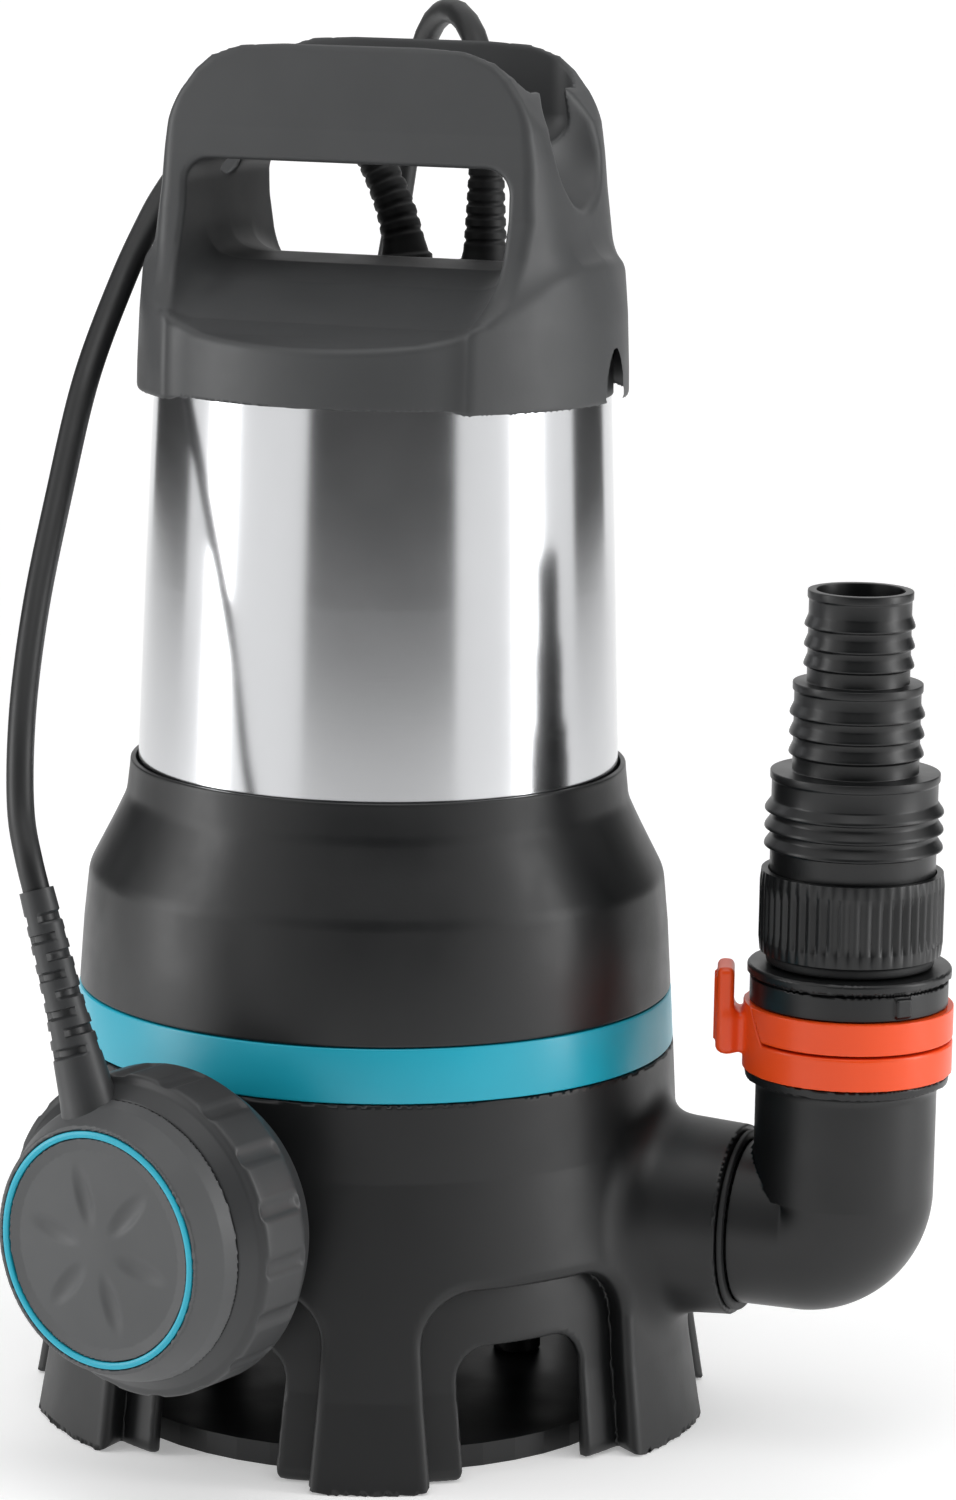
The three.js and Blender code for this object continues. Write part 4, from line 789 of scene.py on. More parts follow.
def lathe(
    name: str,
    outline: Outline,
    segments: int = 160,
    closed: bool = True,
    swell: Callable[[np.ndarray, np.ndarray, np.ndarray], np.ndarray] | None = None,
    sharp: float = 35.0,
) -> bpy.types.Object:
    """Turns an outline about Z.

    Args:
        name: The piece's name.
        outline: Radius and height of each point, up the outside first.
        segments: Facets round the axis.
        closed: Whether the last point joins the first.
        swell: Gives each vertex its radius from angle, radius and height, for ribs and notches.
        sharp: Edges that bend more than this many degrees stay sharp.

    Returns:
        The new object.
    """
    angles = np.linspace(0, 2 * np.pi, segments, endpoint=False)
    radii, heights = np.array(outline, float).T
    on_axis = radii < 1e-6
    points, rows = [], []
    for r, z, pole in zip(radii, heights, on_axis, strict=True):
        start = len(points)
        if pole:
            points.append((0.0, 0.0, z))
            rows.append([start] * segments)
            continue
        ring = np.full(segments, r)
        if swell:
            ring = swell(angles, ring, np.full(segments, z))
        points.extend(zip(ring * np.cos(angles), ring * np.sin(angles), np.full(segments, z), strict=True))
        rows.append(list(range(start, start + segments)))
    faces = []
    pairs = list(zip(rows, rows[1:], strict=False))
    if closed and not (on_axis[0] and on_axis[-1]):
        pairs.append((rows[-1], rows[0]))
    for lower, upper in pairs:
        for i in range(segments):
            j = (i + 1) % segments
            quad = [lower[i], lower[j], upper[j], upper[i]]
            kept = [v for k, v in enumerate(quad) if v not in quad[:k]]
            if len(kept) > 2:
                faces.append(kept)
    made = new_mesh(name, np.array(points), faces)
    made.data.set_sharp_from_angle(angle=math.radians(sharp))
    return made


def place(piece: bpy.types.Object, matrix: Matrix) -> bpy.types.Object:
    """Moves a piece's own mesh by a matrix in millimetres.

    Args:
        piece: The piece.
        matrix: Where it goes.

    Returns:
        The piece.
    """
    scaled = matrix.copy()
    scaled.translation = matrix.translation * MM
    piece.data.transform(scaled)
    piece.data.update()
    return piece


def frames_along(path: np.ndarray) -> tuple[np.ndarray, np.ndarray, np.ndarray]:
    """Directions along a path that don't twist.

    Args:
        path: The points of the path.

    Returns:
        The way on, and two ways across it, at each point.
    """
    on = np.gradient(path, axis=0)
    on /= np.linalg.norm(on, axis=1)[:, None]
    side = np.cross(on[0], [0.0, 0.0, 1.0])
    if np.linalg.norm(side) < 0.1:
        side = np.cross(on[0], [1.0, 0.0, 0.0])
    sides = []
    for way in on:
        side = side - way * (side @ way)
        side /= np.linalg.norm(side)
        sides.append(side)
    first = np.array(sides)
    return on, first, np.cross(on, first)


def sweep(
    name: str,
    path: np.ndarray,
    radii: float | np.ndarray,
    sides: int = 24,
    swell: Callable[[np.ndarray, int], np.ndarray] | None = None,
) -> bpy.types.Object:
    """A round body along a path, closed at both ends.

    Args:
        name: The piece's name.
        path: The points of its centreline.
        radii: One radius, or one for each point.
        sides: Facets round it.
        swell: Gives the share of the radius at each angle of one row.

    Returns:
        The new object.
    """
    _, first, second = frames_along(path)
    size = np.full(len(path), radii) if np.isscalar(radii) else np.asarray(radii, float)
    angles = np.linspace(0, 2 * np.pi, sides, endpoint=False)
    rows = []
    for i in range(len(path)):
        share = np.ones(sides) if swell is None else swell(angles, i)
        spread = np.cos(angles)[:, None] * first[i] + np.sin(angles)[:, None] * second[i]
        rows.append(path[i] + spread * (size[i] * share)[:, None])
    points = np.vstack([*rows, path[:1], path[-1:]])
    faces = []
    for i in range(len(path) - 1):
        for j in range(sides):
            k = (j + 1) % sides
            faces.append([i * sides + j, i * sides + k, (i + 1) * sides + k, (i + 1) * sides + j])
    last = (len(path) - 1) * sides
    for j in range(sides):
        k = (j + 1) % sides
        faces.append([len(points) - 2, k, j])
        faces.append([len(points) - 1, last + j, last + k])
    made = new_mesh(name, points, faces)
    made.data.set_sharp_from_angle(angle=math.radians(50))
    return made


def dress(
    piece: bpy.types.Object,
    finish: Finish,
    body: str,
    *nodes: str,
) -> bpy.types.Object:
    """Gives a piece its finish and its body, and lets it stand for nodes of the frame.

    Args:
        piece: The piece.
        finish: Its finish.
        body: The body that it moves with.
        nodes: The frame's nodes that it stands for.

    Returns:
        The piece.
    """
    piece.data.materials.clear()
    piece.data.materials.append(finish.build())
    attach(piece, body)
    if nodes:
        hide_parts(*nodes)
    LOG.info("%s on %s", piece.name, body)
    return piece


class Body(Enum):
    """The bodies of the frame that visible pieces move with."""

    PUMP = "pump"
    OUTLET = "outlet"
    LOCK = "lock"
    NUT = "nut"
    FLOAT = "float"


def mirrored(half: Outline) -> Outline:
    """A closed outline from its right half, given from the bottom up."""
    return half + [(-x, y) for x, y in reversed(half)]


def axis_matrix(
    origin: Sequence[float], across: Sequence[float], along: Sequence[float], out: Sequence[float]
) -> Matrix:
    """A matrix whose columns are three directions and an origin.

    Args:
        origin: Where the piece's own zero goes.
        across: Direction of its X.
        along: Direction of its Y.
        out: Direction of its Z.

    Returns:
        The matrix.
    """
    rows = [[across[k], along[k], out[k], origin[k]] for k in range(3)]
    return Matrix([*rows, [0.0, 0.0, 0.0, 1.0]])


# ---------------------------------------------------------------- motor, cap and casing


@dataclass(frozen=True)
class Handle:
    """Cap of the motor with its two legs and the open-topped grip between them."""

    skirt: Outline = field(
        default_factory=lambda: [
            (0, 294), (66.5, 294), (66.4, 300), (65.8, 315), (64.3, 334), (62.5, 350), (60, 392), (0, 392)
        ]
    )
    side: Outline = field(
        default_factory=lambda: [
            (70, 290),
            (70, 309),
            (61.6, 330),
            (59, 349),
            (57, 360),
            (54.5, 368.5),
            (50, 376.5),
            (46, 382),
            (41.5, 386),
            (33, 389.3),
            (20, 390.8),
        ]
    )
    front: Outline = field(
        default_factory=lambda: [
            (72, 290),
            (72, 308.6),
            (66, 310),
            (56, 312),
            (47, 315),
            (41, 323),
            (35.5, 334),
            (32, 344),
            (31, 358),
            (31, 367),
            (28, 388),
            (26.5, 391),
        ]
    )
    roof: Outline = field(
        default_factory=lambda: [
            (72, 290),
            (72, 308.6),
            (66, 310),
            (56, 312),
            (47, 315),
            (38, 319.5),
            (28, 324.5),
            (15, 328.8),
            (0, 330),
        ]
    )
    window_half: float = 47.5
    window_top: float = 357.5
    window_corner: float = 7.0
    trough_half: float = 26.0
    trough_floor: float = 361.0
    notch: tuple[float, float, float] = (20.0, 20.0, 21.0)
    notch_centre: tuple[float, float] = (63.0, 366.0)
    seat_radius: float = 8.4
    seat_top: float = 323.2
    seat_y: float = 42.0
    seats: tuple[float, float] = (14.7, -9.7)

    def distance(self, p: Points) -> np.ndarray:
        """Distances to the cap.

        Args:
            p: The points.

        Returns:
            One distance per point.
        """
        cone = turned(p, self.skirt)
        grip = blend_max(near_polygon(p[:, 0], p[:, 2], mirrored(self.side)), cone, 3)
        grip = blend_max(grip, near_polygon(p[:, 1], p[:, 2], mirrored(self.front)), 2.2)
        half_height = (self.window_top - 280) / 2
        window = block(p, (0, 0, 280 + half_height), (self.window_half, 90, half_height), self.window_corner)
        grip = carve(grip, window, 2)
        trough = block(p, (0, 0, self.trough_floor + 30), (48, self.trough_half, 30), 9)
        grip = carve(grip, trough, 1.6)
        for side in (-1, 1):
            x, z = self.notch_centre
            away = (p - np.array([side * x, 0, z], np.float32)) / np.array(self.notch, np.float32)
            spoon = (np.linalg.norm(away, axis=1) - 1) * min(self.notch)
            grip = carve(grip, spoon, 2)
        roof = blend_max(near_polygon(p[:, 1], p[:, 2], mirrored(self.roof)), cone, 2.2)
        whole = blend_min(roof, grip, 11)
        for x in self.seats:
            seat = rod(p, (x, self.seat_y, 300), (x, self.seat_y, self.seat_top), self.seat_radius)
            whole = blend_min(whole, seat, 2)
        socket = [(0, 280), (65.2, 280), (64.7, 304.4), (58, 304.4), (58, 306.4), (0, 306.4)]
        return carve(whole, turned(p, socket), 0.5)

    def build(self) -> None:
        """Makes the cap."""
        mould = Mould(self.distance, (-67, -67, 293.5), (67, 67, 392), 0.95)
        dress(mould.mesh("cap_and_handle"), CAP_PLASTIC, Body.PUMP.value, "handle_cap")


@dataclass(frozen=True)
class Port:
    """One intake port: its angle and the half angles of its recess and its opening, in degrees."""

    angle: float
    recess: float
    opening: float


@dataclass(frozen=True)
class Casing:
    """Flared lower casing with its intake ports, the pump chamber inside and the outlet stub."""

    skin: Outline = field(
        default_factory=lambda: [(98.6, 0), (97.9, 4), (94.5, 24.7), (91.9, 46.6), (87.3, 85), (86, 106.9)]
    )
    front_leg: float = -69.0
    port_top: float = 36.5
    recess_top: float = 54.0
    recess_depth: float = 8.0
    stub_height: float = 63.0
    stub_end: float = 111.6
    column_angles: tuple[float, ...] = (51.0, 171.0, 291.0)

    def ports(self) -> list[Port]:
        """The six ports round the casing."""
        wide, narrow = (19.0, 12.6), (8.5, 4.6)
        steps = ((29.7, wide), (85.5, narrow), (150.3, wide))
        return [Port(self.front_leg + side * step, *size) for step, size in steps for side in (-1, 1)]

    def skin_radius(self, z: np.ndarray) -> np.ndarray:
        """Radius of the outside at each height."""
        radii, heights = zip(*self.skin, strict=True)
        return np.interp(z, heights, radii).astype(np.float32)

    def arch(self, p: Points, half: float, top: float, corner: float) -> np.ndarray:
        """Distances to an upright slot with rounded upper corners, along the port's own X.

        Args:
            p: The points in the port's frame.
            half: Half its width.
            top: Its height.
            corner: Its corners' radius.

        Returns:
            One distance per point.
        """
        qx = np.abs(p[:, 1]) - half + corner
        qz = np.abs(p[:, 2] - (top - 60) / 2) - (top + 60) / 2 + corner
        outside = np.hypot(np.maximum(qx, 0), np.maximum(qz, 0))
        return outside + np.minimum(np.maximum(qx, qz), 0) - corner

    def distance(self, p: Points) -> np.ndarray:
        """Distances to the casing.

        Args:
            p: The points.

        Returns:
            One distance per point.
        """
        r, z = radius_of(p), p[:, 2]
        skin = self.skin_radius(z)
        outside = [(0, 0), *self.skin, (0, 106.9)]
        body = near_polygon(r, z, outside)
        hollow = near_polygon(r, z, [(0, -9), (86.4, -9), (82, 30), (79.5, 46.6), (83, 80), (0, 80)])
        body = carve(body, hollow, 0.6)
        drum = near_polygon(r, z, [(0, 40), (62, 40), (62, 87), (0, 87)])
        body = blend_min(body, drum, 1.5)
        for angle in self.column_angles:
            x, y = 50 * math.cos(math.radians(angle)), 50 * math.sin(math.radians(angle))
            body = blend_min(body, rod(p, (x, y, 4.3), (x, y, 41), 7), 1.5)
        stub = near_polygon(
            np.hypot(p[:, 1], z - self.stub_height), p[:, 0], [
                (0, 56), (28, 56), (28, 94), (26.9, self.stub_end), (0, self.stub_end)
            ]
        )
        body = blend_min(body, stub, 9)
        for port in self.ports():
            local = turn_z(p, port.angle)
            front = local[:, 0] > 0
            width = 93 * math.tan(math.radians(port.recess))
            slot = self.arch(local, width, self.recess_top, min(width * 0.7, 15))
            recess = np.maximum(slot, skin - self.recess_depth - r)
            body = carve(body, np.where(front, recess, 99), 4.5)
            width = 88 * math.tan(math.radians(port.opening))
            slot = self.arch(local, width, self.port_top, min(width * 0.8, 9))
            opening = np.maximum(slot, 66 - local[:, 0])
            body = carve(body, np.where(front, opening, 99), 2)
        for low, high, radius in ((44, 88, 57), (30, 46, 21)):
            body = carve(body, rod(p, (0, 0, low), (0, 0, high), radius), 0.8)
        body = carve(body, rod(p, (0, 0, 87), (0, 0, 120), 80.3), 0.6)
        bore = near_polygon(
            np.hypot(p[:, 1], z - self.stub_height), p[:, 0], [
                (0, 48), (18.5, 48), (18.5, 95.1), (22.9, 95.1), (22.9, 120), (0, 120)
            ]
        )
        return carve(body, bore, 0.6)

    def build(self) -> None:
        """Makes the casing."""
        mould = Mould(self.distance, (-99, -99, 0), (112, 99, 107), 1.25)
        dress(mould.mesh("intake_casing"), CASING_PLASTIC, Body.PUMP.value, "pump_casing", "volute_drum")


@dataclass(frozen=True)
class Housing:
    """Band, conical housing and polished tube between casing and cap."""

    band: Outline = field(
        default_factory=lambda: [(81.9, 107.2), (85.9, 107.2), (85.5, 114), (85.0, 122.4), (81.7, 122.4)]
    )
    shoulder: Outline = field(
        default_factory=lambda: [
            (81, 122.7),
            (84.9, 122.7),
            (83.7, 141),
            (82.2, 156),
            (78.6, 163),
            (75, 170),
            (71.7, 177),
            (70.8, 185),
            (70.6, 187.4),
            (69.1, 187.4),
            (69.1, 178.0),
            (66.3, 178.0),
            (66.3, 175.2),
            (74.6, 163.4),
            (78.4, 155),
        ]
    )
    tube: Outline = field(
        default_factory=lambda: [
            (68.75, 178.4),
            (68.4, 187.4),
            (66.5, 240),
            (64.4, 294),
            (64.1, 304),
            (62.9, 304),
            (63.2, 294),
            (67.5, 178.4),
        ]
    )

    def build(self) -> None:
        """Makes the three turned pieces."""
        band = lathe("teal_band", soften(self.band, 0.6, closed=True), 192)
        dress(band, TEAL_ABS, Body.PUMP.value, "accent_band")
        sizes = [0.8, 0.8, 0.0, 2.2, 3.0, 3.0, 2.0, 1.5, 0.6, 0.4, 0.4, 0.4, 0.4, 1.0, 1.0]
        shoulder = lathe("conical_housing", soften(self.shoulder, sizes, 5, closed=True), 192)
        dress(shoulder, HOUSING_PLASTIC, Body.PUMP.value, "shoulder_housing")
        tube = lathe("polished_tube", soften(self.tube, 0.25, 2, closed=True), 224)
        dress(tube, POLISHED_TUBE, Body.PUMP.value, "motor_tube")


# ---------------------------------------------------------------- outlet


@dataclass(frozen=True)
class Outlet:
    """Seal ring, elbow, locking ring, collar, nut and the stepped hose tail."""

    axis_height: float = 63.0
    riser_x: float = 141.0
    bend: float = 12.0
    inlet_radius: float = 23.3
    riser_radius: float = 25.25
    bore: float = 18.5
    lock_bottom: float = 110.5
    lock_top: float = 129.3
    lever_angle: float = 197.0

    def at_riser(self, p: Points) -> Points:
        """Points as seen from the riser's own axis."""
        return p - np.array([self.riser_x, 0, 0], np.float32)

    def pipe(self, p: Points, inlet: float, riser: float, start: float, top: float) -> np.ndarray:
        """Distances to a solid pipe that turns from the stub up into the riser.

        Args:
            p: The points.
            inlet: Radius at its start.
            riser: Radius of its upright part.
            start: Where it starts along X.
            top: Where it ends.

        Returns:
            One distance per point.
        """
        x, z = self.riser_x - self.bend, self.axis_height + self.bend
        level = rod(p, (start, 0, self.axis_height), (x + 0.2, 0, self.axis_height), inlet)
        upright = rod(p, (self.riser_x, 0, z - 0.2), (self.riser_x, 0, top), riser)
        dx, dz = p[:, 0] - x, p[:, 2] - z
        share = np.clip(np.arctan2(np.maximum(dx, 0), np.maximum(-dz, 1e-6)) / (math.pi / 2), 0, 1)
        ring = np.hypot(np.hypot(dx, dz) - self.bend, p[:, 1]) - (inlet + (riser - inlet) * share)
        corner = np.where((dx > 0) & (dz < 0), ring, 99)
        return np.minimum(np.minimum(level, upright), corner)

    def elbow(self, p: Points) -> np.ndarray:
        """Distances to the elbow."""
        body = self.pipe(p, self.inlet_radius, self.riser_radius, 113.8, 109)
        spigot = rod(p, (95.9, 0, self.axis_height), (120, 0, self.axis_height), 22.2)
        lip = turned(self.at_riser(p), [(0, 107.6), (28.2, 107.6), (28.6, 110.2), (0, 110.2)])
        neck = turned(self.at_riser(p), [(0, 108), (24.4, 108), (24.4, 129.2), (0, 129.2)])
        body = blend_min(np.minimum(body, spigot), lip, 3)
        body = np.minimum(body, neck)
        return carve(body, self.pipe(p, self.bore, self.bore, 80, 140), 0.6)

    def hoop(self, p: Points, upper: bool) -> np.ndarray:
        """Distances to one part of the locking ring.

        Args:
            p: The points.
            upper: Whether it is the sleeve above the seam.

        Returns:
            One distance per point.
        """
        q = self.at_riser(p)
        wall = [
            (25.1, self.lock_bottom), (29.2, self.lock_bottom), (29.2, self.lock_top), (25.1, self.lock_top)
        ]
        hoop = turned(q, wall)
        away = np.abs((np.degrees(np.arctan2(q[:, 1], q[:, 0])) - self.lever_angle + 180) % 360 - 180)
        seam = 120.0 + 11 * np.clip((34 - away) / 16, 0, 1)
        if upper:
            return blend_max(hoop, seam + 0.35 - q[:, 2], 0.7)
        ring = blend_max(hoop, q[:, 2] - seam + 0.35, 0.7)
        local = turn_z(q, self.lever_angle)
        paddle = block(local, (34.2, 0, 127.2), (2.4, 7.2, 12), 1.8)
        root = block(local, (30.5, 0, 120.5), (4.5, 6.2, 5.5), 1.5)
        paddle = blend_min(paddle, root, 3)
        for y in (-4, 0, 4):
            rib = rod(local, (36.6, y, 118.5), (36.6, y, 136), 0.8)
            paddle = blend_min(paddle, rib, 0.8)
        return np.maximum(blend_min(ring, paddle, 2), 25.1 - radius_of(q))

    def collar(self, p: Points) -> np.ndarray:
        """Distances to the coupling collar."""
        q = self.at_riser(p)
        outline = [
            (self.bore, 129.6),
            (27.6, 129.6),
            (27.6, 136.5),
            (26.4, 136.5),
            (26.4, 137.5),
            (28.4, 137.5),
            (28.4, 139.6),
            (27.9, 140.2),
            (20.4, 140.2),
            (20.4, 157.2),
            (self.bore, 157.2),
        ]
        tab = block(turn_z(q, -42), (27.2, 0, 133.2), (1.5, 2.5, 2.6), 0.6)
        return blend_min(turned(q, outline), tab, 0.6)

    def nozzle_outline(self) -> tuple[Outline, list[float]]:
        """Outline of the three-step hose tail, with its barbs.

        Returns:
            The corners, and the rounding of each.
        """
        steps = (
            (23.0, 24.8, 194.6, (173.0, 178.0, 183.0), 23.5),
            (17.5, 18.7, 219.4, (199.0, 204.4, 210.0), 18.0),
            (14.2, 15.3, 245.0, (223.6, 229.0, 234.6), 14.6),
        )
        outline: Outline = [(20.9, 144.1), (23, 144.1)]
        for radius, barb, top, barbs, rim in steps:
            if outline[-1][0] > radius:
                outline.append((radius, outline[-1][1] + 0.0))
            for z in barbs:
                outline += [(radius, z), (barb, z + 0.5), (barb - 0.15, z + 1.3), (radius, z + 3.6)]
            outline += [(radius, top - 2.6), (rim, top - 2.2), (rim, top)]
        outline += [
            (12.2, 245), (12.2, 217.4), (15.5, 215.4), (15.5, 192.6), (21, 190.6), (21, 158.5), (20.9, 158)
        ]
        return outline, [0.35] * len(outline)

    def build(self) -> None:
        """Makes the pieces of the outlet."""
        riser = Matrix.Translation((self.riser_x, 0, 0))
        sideways = axis_matrix((0, 0, self.axis_height), (0, 1, 0), (0, 0, 1), (1, 0, 0))
        seal = lathe(
            "outlet_seal",
            soften([(23, 111.9), (25.6, 111.9), (25.6, 113.5), (23, 113.5)], 0.6, closed=True), 96
        )
        dress(place(seal, sideways), SEAL_RUBBER, Body.PUMP.value, "outlet_ring")
        elbow = Mould(self.elbow, (95, -29, 36), (171, 29, 130), 0.9).mesh("elbow")
        dress(elbow, FITTING_PLASTIC, Body.OUTLET.value, "outlet_elbow")
        low, high = (102, -30, 110), (171, 30, 140)
        lock = Mould(lambda p: self.hoop(p, False), low, high, 0.6).mesh("locking_ring")
        dress(lock, ORANGE_ACETAL, Body.LOCK.value, "lock_ring")
        sleeve = Mould(lambda p: self.hoop(p, True), low, high, 0.6).mesh("locking_sleeve")
        dress(sleeve, ORANGE_ACETAL, Body.LOCK.value, "lock_sleeve")
        collar = Mould(self.collar, (112, -29, 129), (170, 29, 158), 0.65).mesh("collar")
        dress(collar, FITTING_PLASTIC, Body.OUTLET.value, "coupling_collar")
        gasket = lathe(
            "hose_seal",
            soften([(20.8, 140.5), (23.4, 140.5), (23.4, 143.5), (20.8, 143.5)], 1.1, closed=True), 128
        )
        dress(place(gasket, riser), SEAL_RUBBER, Body.OUTLET.value, "hose_gasket")
        outline = [(23.4, 143.9), (25.2, 143.9), (25.6, 147.2), (25.6, 163.4), (25.2, 166.7), (23.4, 166.7)]
        rows = [(25.6, z) for z in np.linspace(147.6, 163.0, 12)]
        nut = lathe("union_nut", [*outline[:3], *rows, *outline[3:]], 400, swell=self.ribs, sharp=50)
        dress(place(nut, riser), FITTING_PLASTIC, Body.NUT.value, "grip_nut")
        corners, sizes = self.nozzle_outline()
        nozzle = lathe("hose_tail", soften(corners, sizes, 3, closed=True), 160, sharp=40)
        dress(place(nozzle, riser), FITTING_PLASTIC, Body.OUTLET.value, "hose_nozzle")

    @staticmethod
    def ribs(angles: np.ndarray, radii: np.ndarray, heights: np.ndarray) -> np.ndarray:
        """Grip ribs round the nut: fifty, fading out at both rims."""
        fade = np.clip(np.minimum(heights - 146.4, 164.2 - heights) / 1.6, 0, 1)
        wave = (0.5 + 0.5 * np.cos(angles * 50)) ** 0.7
        return radii - np.where(radii > 24.5, 0.75, 0) * fade * (1 - wave)


# ---------------------------------------------------------------- float switch


@dataclass(frozen=True)
class FloatSwitch:
    """The float: two shells, the coloured ring in its face and the slotted strain relief."""

    centre: tuple[float, float, float] = (-18.7, -114.3, 75.5)
    facing: tuple[float, float] = (-0.259, -0.966)
    lean: float = 18.2
    notches: int = 18

    def matrix(self) -> Matrix:
        """The float's own frame: Z out of its face, Y towards its cord."""
        out = np.array([*self.facing, 0.0])
        out /= np.linalg.norm(out)
        upright = np.array([0.0, 0.0, 1.0])
        left = np.cross(out, upright)
        turn = math.radians(self.lean)
        along = upright * math.cos(turn) + left * math.sin(turn)
        return axis_matrix(self.centre, np.cross(along, out), along, out)

    def rim(self, angles: np.ndarray, radii: np.ndarray, heights: np.ndarray) -> np.ndarray:
        """Shallow finger notches round the rear shell's rim."""
        tooth = np.clip((np.cos(angles * self.notches) - 0.55) / 0.25, 0, 1)
        fade = np.clip((8.4 - np.abs(heights)) / 1.2, 0, 1)
        return radii - np.where(radii > 43, 1.0, 0) * tooth * fade

    def face(self, p: Points) -> np.ndarray:
        """Distances to the front shell, whose face has a plain fan of shallow flutes."""
        outline = [
            (0, 21.8),
            (30.5, 21.4),
            (36.2, 13.5),
            (38.6, 13.5),
            (37.4, 18),
            (33.8, 25.2),
            (32.55, 25.4),
            (32.55, 23.9),
            (30.3, 23.9),
            (30.3, 25.2),
            (27, 24.6),
            (0, 25.3),
        ]
        body = turned(p, outline)
        for k in range(6):
            local = turn_z(p, 30 + 60 * k)
            away = (local - np.array([15.5, 0, 26.2], np.float32)) / np.array([9.5, 3.4, 2.2], np.float32)
            flute = (np.linalg.norm(away, axis=1) - 1) * 2.2
            body = carve(body, flute, 0.5)
        return body

    @staticmethod
    def slots(angles: np.ndarray, radii: np.ndarray, heights: np.ndarray) -> np.ndarray:
        """The ladder of slots that lets the strain relief bend."""
        along = (heights - 50) / 5.2
        slot = np.clip((np.abs((along % 1) - 0.5) - 0.24) / -0.06, 0, 1) * ((heights > 50) & (heights < 92))
        row = np.floor(along) % 2
        side = np.clip((np.abs(np.cos(angles + row * np.pi / 2)) - 0.42) / 0.12, 0, 1)
        return radii * (1 - 0.3 * slot * side)

    def build(self) -> None:
        """Makes the float's visible pieces."""
        frame = self.matrix()
        rear = [
            (0, -21),
            (36, -21),
            (39.5, -16),
            (44.4, -8),
            (44.4, -4),
            (44.4, 0),
            (44.4, 4),
            (44.4, 8),
            (42, 9),
            (38.6, 13.2),
            (36.2, 13.2),
            (42, 6.8),
            (42, -7.4),
            (34.6, -18.6),
            (0, -18.6),
        ]
        sizes = [0.0, 2.0, 2.0, 1.2, 0.3, 0.3, 0.3, 1.2, 0.6, 0.5, 0.3, 0.5, 0.5, 0.5, 0.0]
        shell = lathe("float_back", soften(rear, sizes, 4), 288, closed=False, swell=self.rim)
        dress(place(shell, frame), FLOAT_PLASTIC, Body.FLOAT.value, "float_rear_shell")
        front = Mould(self.face, (-39.5, -39.5, 13), (39.5, 39.5, 26), 0.7).mesh("float_face")
        dress(place(front, frame), FLOAT_FACE, Body.FLOAT.value, "float_front_shell")
        band = [(30.5, 24.05), (32.35, 24.05), (32.35, 25.5), (31.4, 25.75), (30.5, 25.5)]
        ring = lathe("float_teal_ring", soften(band, 0.3, closed=True), 160)
        dress(place(ring, frame), TEAL_ABS, Body.FLOAT.value, "float_ring")
        heights = np.linspace(34.6, 96.8, 160)
        radii = np.interp(heights, [34.6, 40, 65, 97], [8.3, 7.6, 5.5, 4.7])
        stem = [(0.0, 34.6), *zip(radii.tolist(), heights.tolist(), strict=True), (0.0, 96.8)]
        relief = lathe("float_strain_relief", stem, 48, closed=False, swell=self.slots, sharp=40)
        lying = frame @ axis_matrix((0, 0, 13.9), (0, 0, 1), (1, 0, 0), (0, 1, 0))
        dress(place(relief, lying), FLOAT_PLASTIC, Body.FLOAT.value, "float_relief")


# ---------------------------------------------------------------- cords


@dataclass(frozen=True)
class Coil:
    """The rest of the mains lead, wound flat in five layers behind the pump."""

    centre: tuple[float, float] = (-70.2, 183.0)
    inner: float = 40.8
    outer: float = 79.2
    turns: int = 5
    layers: int = 5
    first_height: float = 5.6
    layer_step: float = 7.62
    first_angle: float = -69.0
    last_turns: float = 3.17
    step: float = 12.0

    def path(self) -> np.ndarray:
        """The coil's centreline, from where the lead meets it to where the tail leaves it."""
        pitch = (self.outer - self.inner) / self.turns
        points: list[tuple[float, float, float]] = []
        angle, z = self.first_angle, self.first_height
        for share in np.linspace(0, 1, 6)[:-1]:
            points.append(
                (angle + 50 * share, 87.3 + (self.outer - 87.3) * (0.5 - 0.5 * math.cos(math.pi * share)), z)
            )
        angle += 50
        for layer in range(self.layers):
            last = layer == self.layers - 1
            turns = self.last_turns if last else self.turns
            start, way = (self.outer, -1) if layer % 2 == 0 else (self.inner, 1)
            count = round(turns * 360 / self.step)
            for share in np.linspace(0, 1, count + 1):
                points.append((angle + turns * 360 * share, start + way * pitch * turns * share, z))
            angle += turns * 360
            if not last:
                radius = points[-1][1]
                for share in np.linspace(0, 1, 6)[1:-1]:
                    rise = 0.5 - 0.5 * math.cos(math.pi * share)
                    points.append((angle + 60 * share, radius, z + self.layer_step * rise))
                angle += 60
                z += self.layer_step
        turn = np.radians([q[0] for q in points])
        radii = np.array([q[1] for q in points])
        heights = np.array([q[2] for q in points])
        return np.stack(
            [self.centre[0] + radii * np.cos(turn), self.centre[1] + radii * np.sin(turn), heights], axis=1
        )


